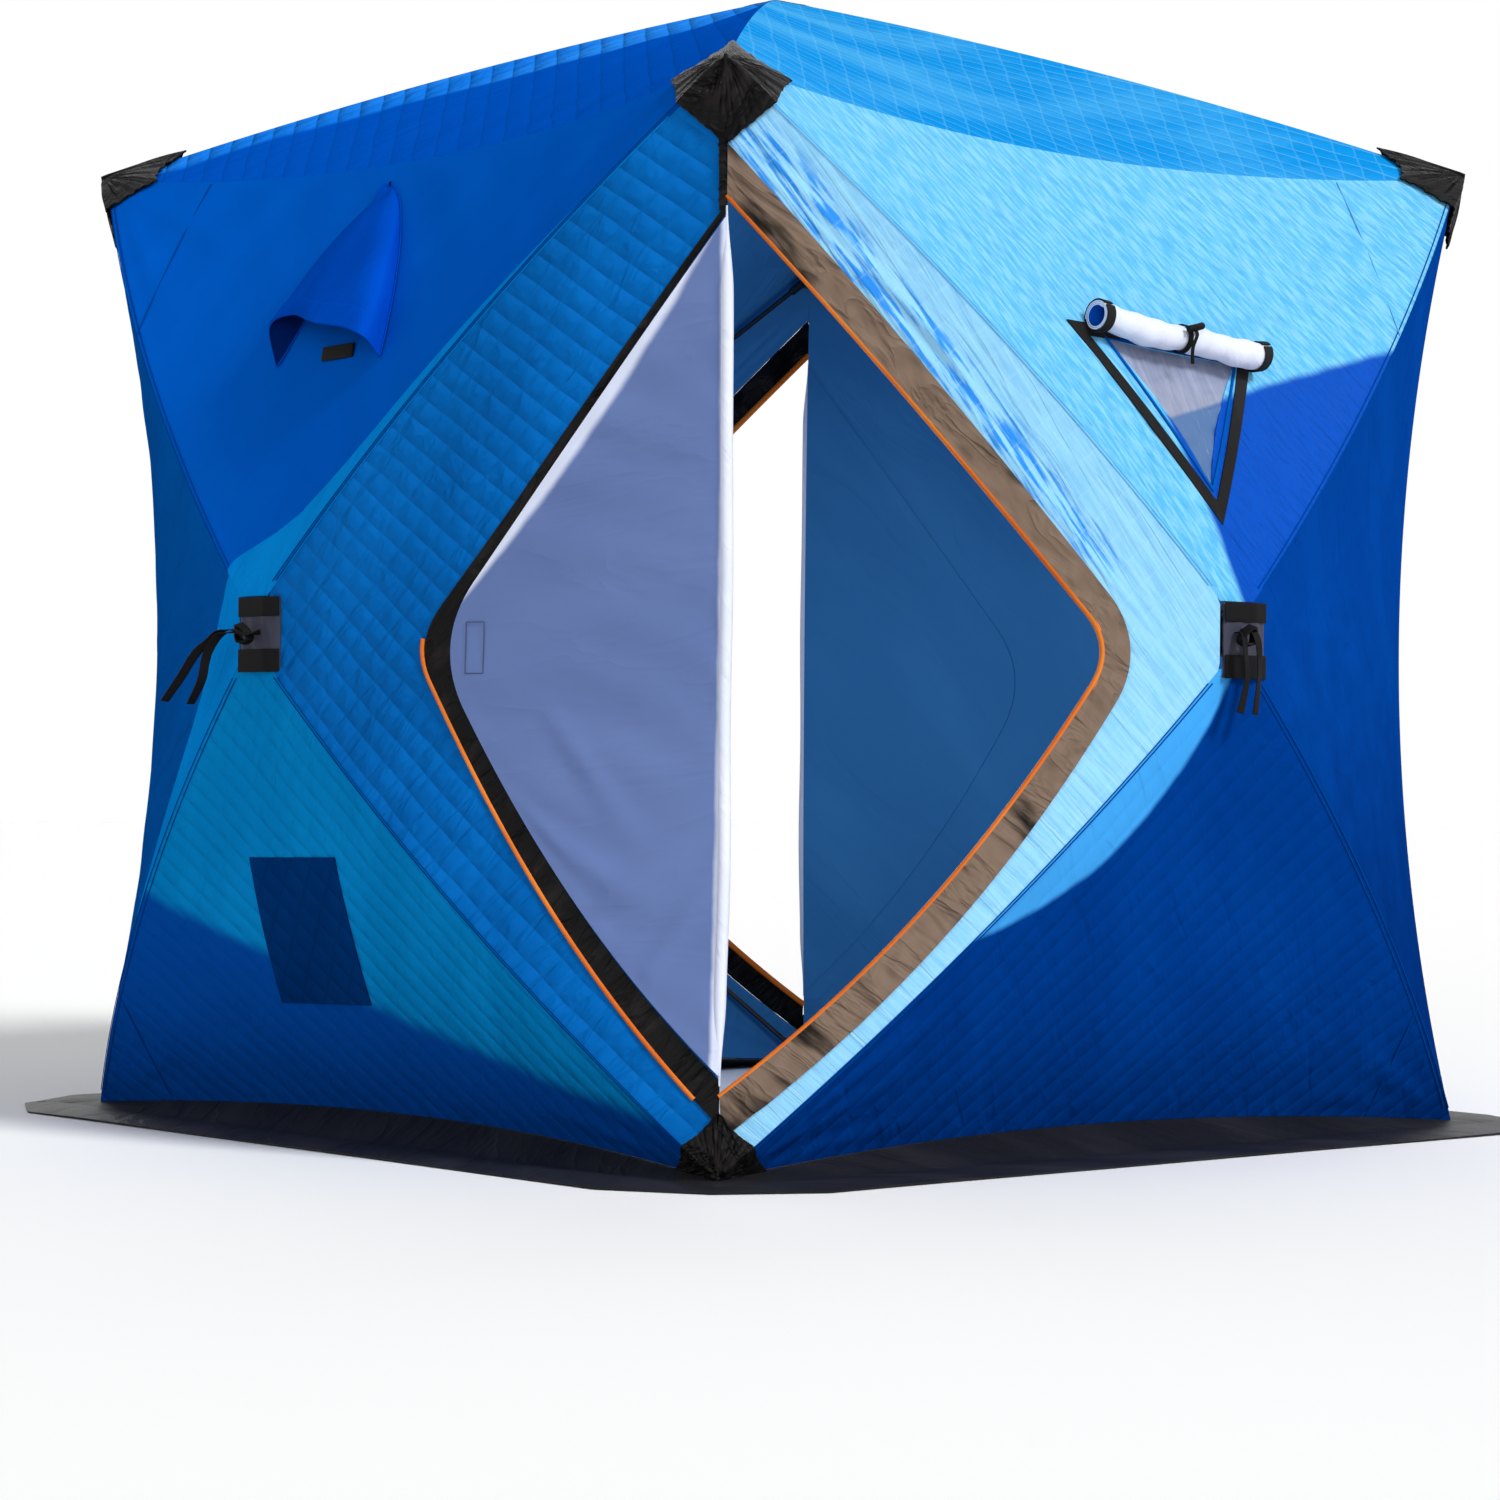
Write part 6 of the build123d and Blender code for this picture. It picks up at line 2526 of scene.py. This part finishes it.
@dataclass
class SewnTrim:
    """Seams, smooth rod sleeves in painted light and the patch, which are sewn on the walls' sectors.

    A sleeve's free edge is given as shares outward and across its sector, the patch by its corners' places along
    the wall and their heights.
    """

    maker: Maker
    seam_width: float = 0.0022
    seam_thickness: float = 0.0008
    gusset_width: float = 0.003
    twin_row: float = 0.011
    upper_sleeve: tuple = (
        (0.0, 0.0), (0.055, 0.0), (0.080, 0.16), (0.111, 0.42), (0.141, 0.62), (0.175, 0.755), (0.225, 0.83),
        (0.273, 0.875), (0.338, 0.908), (0.45, 0.935), (0.60, 0.962), (0.75, 0.982), (0.90, 1.0),
    )
    lower_sleeve: tuple = (
        (0.0, 0.0), (0.045, 0.0), (0.088, 0.30), (0.128, 0.48), (0.161, 0.61), (0.203, 0.72), (0.26, 0.81),
        (0.34, 0.88), (0.45, 0.95), (0.55, 1.0),
    )
    patch_corners: tuple = ((-0.136, 0.478), (0.111, 0.483), (0.056, 0.235), (-0.203, 0.227))

    def line_on(self, sector: Sector, start: Spot, end: Spot, lift: float) -> Array:
        """A straight line drawn on a sector, kept inside it."""
        share = np.linspace(0, 1, 60)
        first, second = start[0] + (end[0] - start[0]) * share, start[1] + (end[1] - start[1]) * share
        across, outward = sector.locate(first, second)
        inside = (across >= 0) & (across <= 1) & (outward >= 0) & (outward <= 1)
        return sector.at(across[inside], outward[inside], lift)

    def seam(self, name: str, wall: WallPlace, line: Array, width: float, finish: Finish) -> None:
        """Sew a narrow seam along a line, and its twin.

        Args:
            name: the seam's name without its wall's.
            wall: the wall.
            line: its middle line.
            width: its width.
            finish: its material.
        """
        sides = np.cross(np.gradient(line, axis=0), FACING)
        piece = ribbon(f"{wall.name}_{name}", line, sides, width, self.seam_thickness, wall)
        self.maker.pair(piece, [], finish)

    def sleeve(self, name: str, sector: Sector, edge: Sequence[Spot]) -> None:
        """A smooth strip beside a sector's last rod that spreads over the hub, and its twin, painted lighter where
        light catches it.

        Args:
            name: its name without its wall's.
            sector: the sector that it lies on.
            edge: its free edge, as shares outward and across.
        """
        marks = np.array(edge)

        def shares(across: Array, along: Array) -> Shares:
            """Spread the strip between its free edge and the rod."""
            outward = along * marks[-1, 0]
            free = np.interp(outward, marks[:, 0], marks[:, 1])
            return free + (1 - free) * across, outward

        mesh = Mesh(14, 110)
        piece = lay_cloth(f"front_{name}", sector, shares, mesh, Relief(), FRONT, lift=0.0022, thickness=0.0018)
        self.maker.pair(piece, [], Finish.SLEEVE, Finish.SLEEVE)

    def build(self) -> None:
        """Build and dress all sewn trim."""
        form = self.maker.form
        for wall in (FRONT, RIGHT):
            self.build_seams(wall)
        self.sleeve("upper_sleeve", form.top, self.upper_sleeve)
        self.sleeve("lower_sleeve", form.sides[-1], self.lower_sleeve)
        self.build_patch()

    def build_seams(self, wall: WallPlace) -> None:
        """Sew a wall's gusset seams and the double seams beside its rods.

        Args:
            wall: the wall.
        """
        form = self.maker.form
        for name, sector, start, end in (
            ("gusset_seam_top", form.top, (-0.579, 1.70), (-0.535, 1.36)),
            ("gusset_seam_low", form.bottom, (-0.667, 0.0), (-0.640, 0.30)),
        ):
            lit = wall is RIGHT and sector is form.top
            line = self.line_on(sector, start, end, 0.0012)
            self.seam(name, wall, line, self.gusset_width, Finish.SEAM_LIT if lit else Finish.SEAM)
        outward = np.linspace(0.03, 0.97, 90)
        for name, sector, last in (
            ("upper_rod_seam", form.top, False), ("far_upper_rod_seam", form.top, True),
            ("lower_rod_seam", form.bottom, False), ("far_lower_rod_seam", form.bottom, True),
        ):
            beside_door = name == "far_upper_rod_seam"
            lift = 0.0050 if beside_door and wall is FRONT else 0.001
            finish = Finish.SEAM_LIT if beside_door and wall is RIGHT else Finish.SEAM
            widths = np.linalg.norm(sector.at(np.ones(90), outward) - sector.at(np.zeros(90), outward), axis=1)
            for number in (0, 1):
                share = number * self.twin_row / widths
                line = sector.at(1 - share if last else share, outward, lift)
                self.seam(f"{name}_{number}", wall, line, self.seam_width, finish)

    def build_patch(self) -> None:
        """Sew the quilted patch on the front and back walls' bottom sectors."""
        corners = np.array(self.patch_corners)
        sector = self.maker.form.bottom

        def shares(across: Array, along: Array) -> Shares:
            """Spread the patch between its corners."""
            top = corners[0] + (corners[1] - corners[0]) * across[:, None]
            low = corners[3] + (corners[2] - corners[3]) * across[:, None]
            places = low + (top - low) * along[:, None]
            return sector.locate(places[:, 0], places[:, 1])

        waves = Relief(ripples=(Ripple(45.0, 0.2, 0.0010, 23),), pin_reach=0.03)
        piece = lay_cloth("front_low_patch", sector, shares, Mesh(26, 26), waves, FRONT, lift=0.003, thickness=0.0025)
        declare(self.maker.pair(piece, [], Finish.NAVY, Finish.NAVY), (0.28, 0.28), "stretched")


@dataclass
class PackedFrame:
    """Rods, hubs and sockets, which stay as they are packed and only get their finishes."""

    maker: Maker

    def build(self) -> None:
        """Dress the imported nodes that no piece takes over."""
        looks = {"fibre": Finish.ROD, "plastic": Finish.PLASTIC}
        for node in PACKED:
            for slot in node.material_slots:
                for word, finish in looks.items():
                    if slot.material and word in slot.material.name:
                        slot.material = self.maker.dyes.made[finish]


@dataclass
class Studio:
    """Camera, lamps, floor and background."""

    camera_place: tuple[float, float, float] = (5.475, -4.837, 0.638)
    yaw: float = -0.067
    pitch: float = 0.004
    roll: float = 0.008
    lens: float = 95.8
    lamps: tuple = (
        ("sunny side", (0.80, 0.10, 0.60), 2.6, 15.0),
        ("beside the camera", (0.60, -0.75, 0.20), 1.0, 40.0),
        ("from behind", (-0.75, 0.60, 0.60), 0.8, 60.0),
    )
    inner_strength: float = 14.0

    def build(self) -> None:
        """Build the studio."""
        self.add_camera()
        self.add_floor()
        self.add_world()
        for lamp in self.lamps:
            self.add_lamp(*lamp)
        self.add_inner_lamp(self.inner_strength)
        bpy.context.scene.view_settings.view_transform = "Standard"

    def add_camera(self) -> None:
        """Place the camera as a person of short height would stand, looking at the door corner."""
        east, north = Vector((1, 1, 0)).normalized(), Vector((-1, 1, 0)).normalized()
        ahead = (
            east * math.sin(self.yaw) * math.cos(self.pitch)
            + north * math.cos(self.yaw) * math.cos(self.pitch)
            + Vector((0, 0, 1)) * math.sin(self.pitch)
        )
        right = east * math.cos(self.yaw) - north * math.sin(self.yaw)
        up = right.cross(ahead)
        tilted_right = right * math.cos(self.roll) + up * math.sin(self.roll)
        tilted_up = tilted_right.cross(ahead)
        turn = Matrix((tilted_right, tilted_up, -ahead)).transposed()
        bpy.ops.object.camera_add(location=self.camera_place, rotation=turn.to_euler())
        camera = bpy.context.object
        camera.data.lens = self.lens
        camera.data.sensor_width = 36.0
        bpy.context.scene.camera = camera

    def add_floor(self) -> None:
        """Lay a pale floor that keeps the shelter's shadow."""
        bpy.ops.mesh.primitive_plane_add(size=60.0)
        floor = bpy.context.object
        floor.name = "floor"
        material = bpy.data.materials.new("pale_floor")
        material.use_nodes = True
        tree = Tree(material.node_tree)
        surface = material.node_tree.nodes["Principled BSDF"]
        path = tree.add("ShaderNodeLightPath")
        tree.feed(surface.inputs["Base Color"], tree.blend(path.outputs["Is Camera Ray"], (0.8,) * 4, (1.0,) * 4))
        surface.inputs["Roughness"].default_value = 0.9
        surface.inputs["Specular IOR Level"].default_value = 0.0
        floor.data.materials.append(material)

    def add_world(self) -> None:
        """Light the background white for the camera and plain for the shelter."""
        world = bpy.data.worlds.new("studio")
        world.use_nodes = True
        bpy.context.scene.world = world
        tree = Tree(world.node_tree)
        world.node_tree.nodes.clear()
        path = tree.add("ShaderNodeLightPath")
        seen = tree.math("MAXIMUM", path.outputs["Is Camera Ray"], path.outputs["Is Glossy Ray"])
        seen = tree.math("MAXIMUM", seen, path.outputs["Is Transmission Ray"])
        strength = tree.math("MULTIPLY_ADD", seen, 0.70, 0.30)
        background = tree.add("ShaderNodeBackground", {"Color": (1.0, 1.0, 1.0, 1.0), "Strength": strength})
        tree.add("ShaderNodeOutputWorld", {"Surface": background.outputs[0]})

    def add_inner_lamp(self, strength: float) -> None:
        """Hang a lamp in the shelter for the daylight that comes through its cloth.

        Args:
            strength: its power in watts.
        """
        bpy.ops.object.light_add(type="POINT", location=(0.0, 0.0, 0.95))
        lamp = bpy.context.object
        lamp.name = "daylight inside"
        lamp.data.energy = strength
        lamp.data.shadow_soft_size = 0.30
        lamp.visible_camera = False

    def add_lamp(self, name: str, way: tuple[float, float, float], strength: float, softness: float) -> None:
        """Hang a soft far lamp that shines on the shelter.

        Args:
            name: the lamp's name.
            way: the direction in which it hangs.
            strength: its light on a surface that faces it.
            softness: its width in the sky, in degrees.
        """
        turn = Vector(way).to_track_quat("Z", "Y").to_euler()
        bpy.ops.object.light_add(type="SUN", location=Vector(way).normalized() * 9.0, rotation=turn)
        lamp = bpy.context.object
        lamp.name = name
        lamp.data.energy = strength
        lamp.data.angle = math.radians(softness)


def main() -> None:
    """Build the shelter and its studio."""
    logging.basicConfig(level=logging.INFO, format="%(name)s %(message)s")
    form = WallForm(FormSizes.read())
    maker = Maker(form, Dyeworks())
    half = form.sizes.half_wall
    closed = DoorOutline(half, reach=0.510, apex=1.530, foot=0.135, tip_radius=0.155)
    closed_band = DoorOutline(half, reach=0.552, apex=1.548, foot=0.070)
    opened = DoorOutline(half, reach=0.640, apex=1.540, foot=0.120)
    door = CornerDoor(maker, closed, closed_band, opened)
    side_edge = part_way(door.band_edge(), Route.on(form.sides[1], closed.line()), np.array([0.3, 0.3]))
    WallPanels(maker, side_edge, opened).build()
    RoofPanels(maker).build()
    door.build()
    SewnTrim(maker).build()
    CornerCaps(maker).build()
    VentHoods(maker).build()
    Windows(maker).build()
    HubDress(maker).build()
    SnowSkirts(maker).build()
    PackedFrame(maker).build()
    Studio().build()


if __name__ == "__main__":
    main()
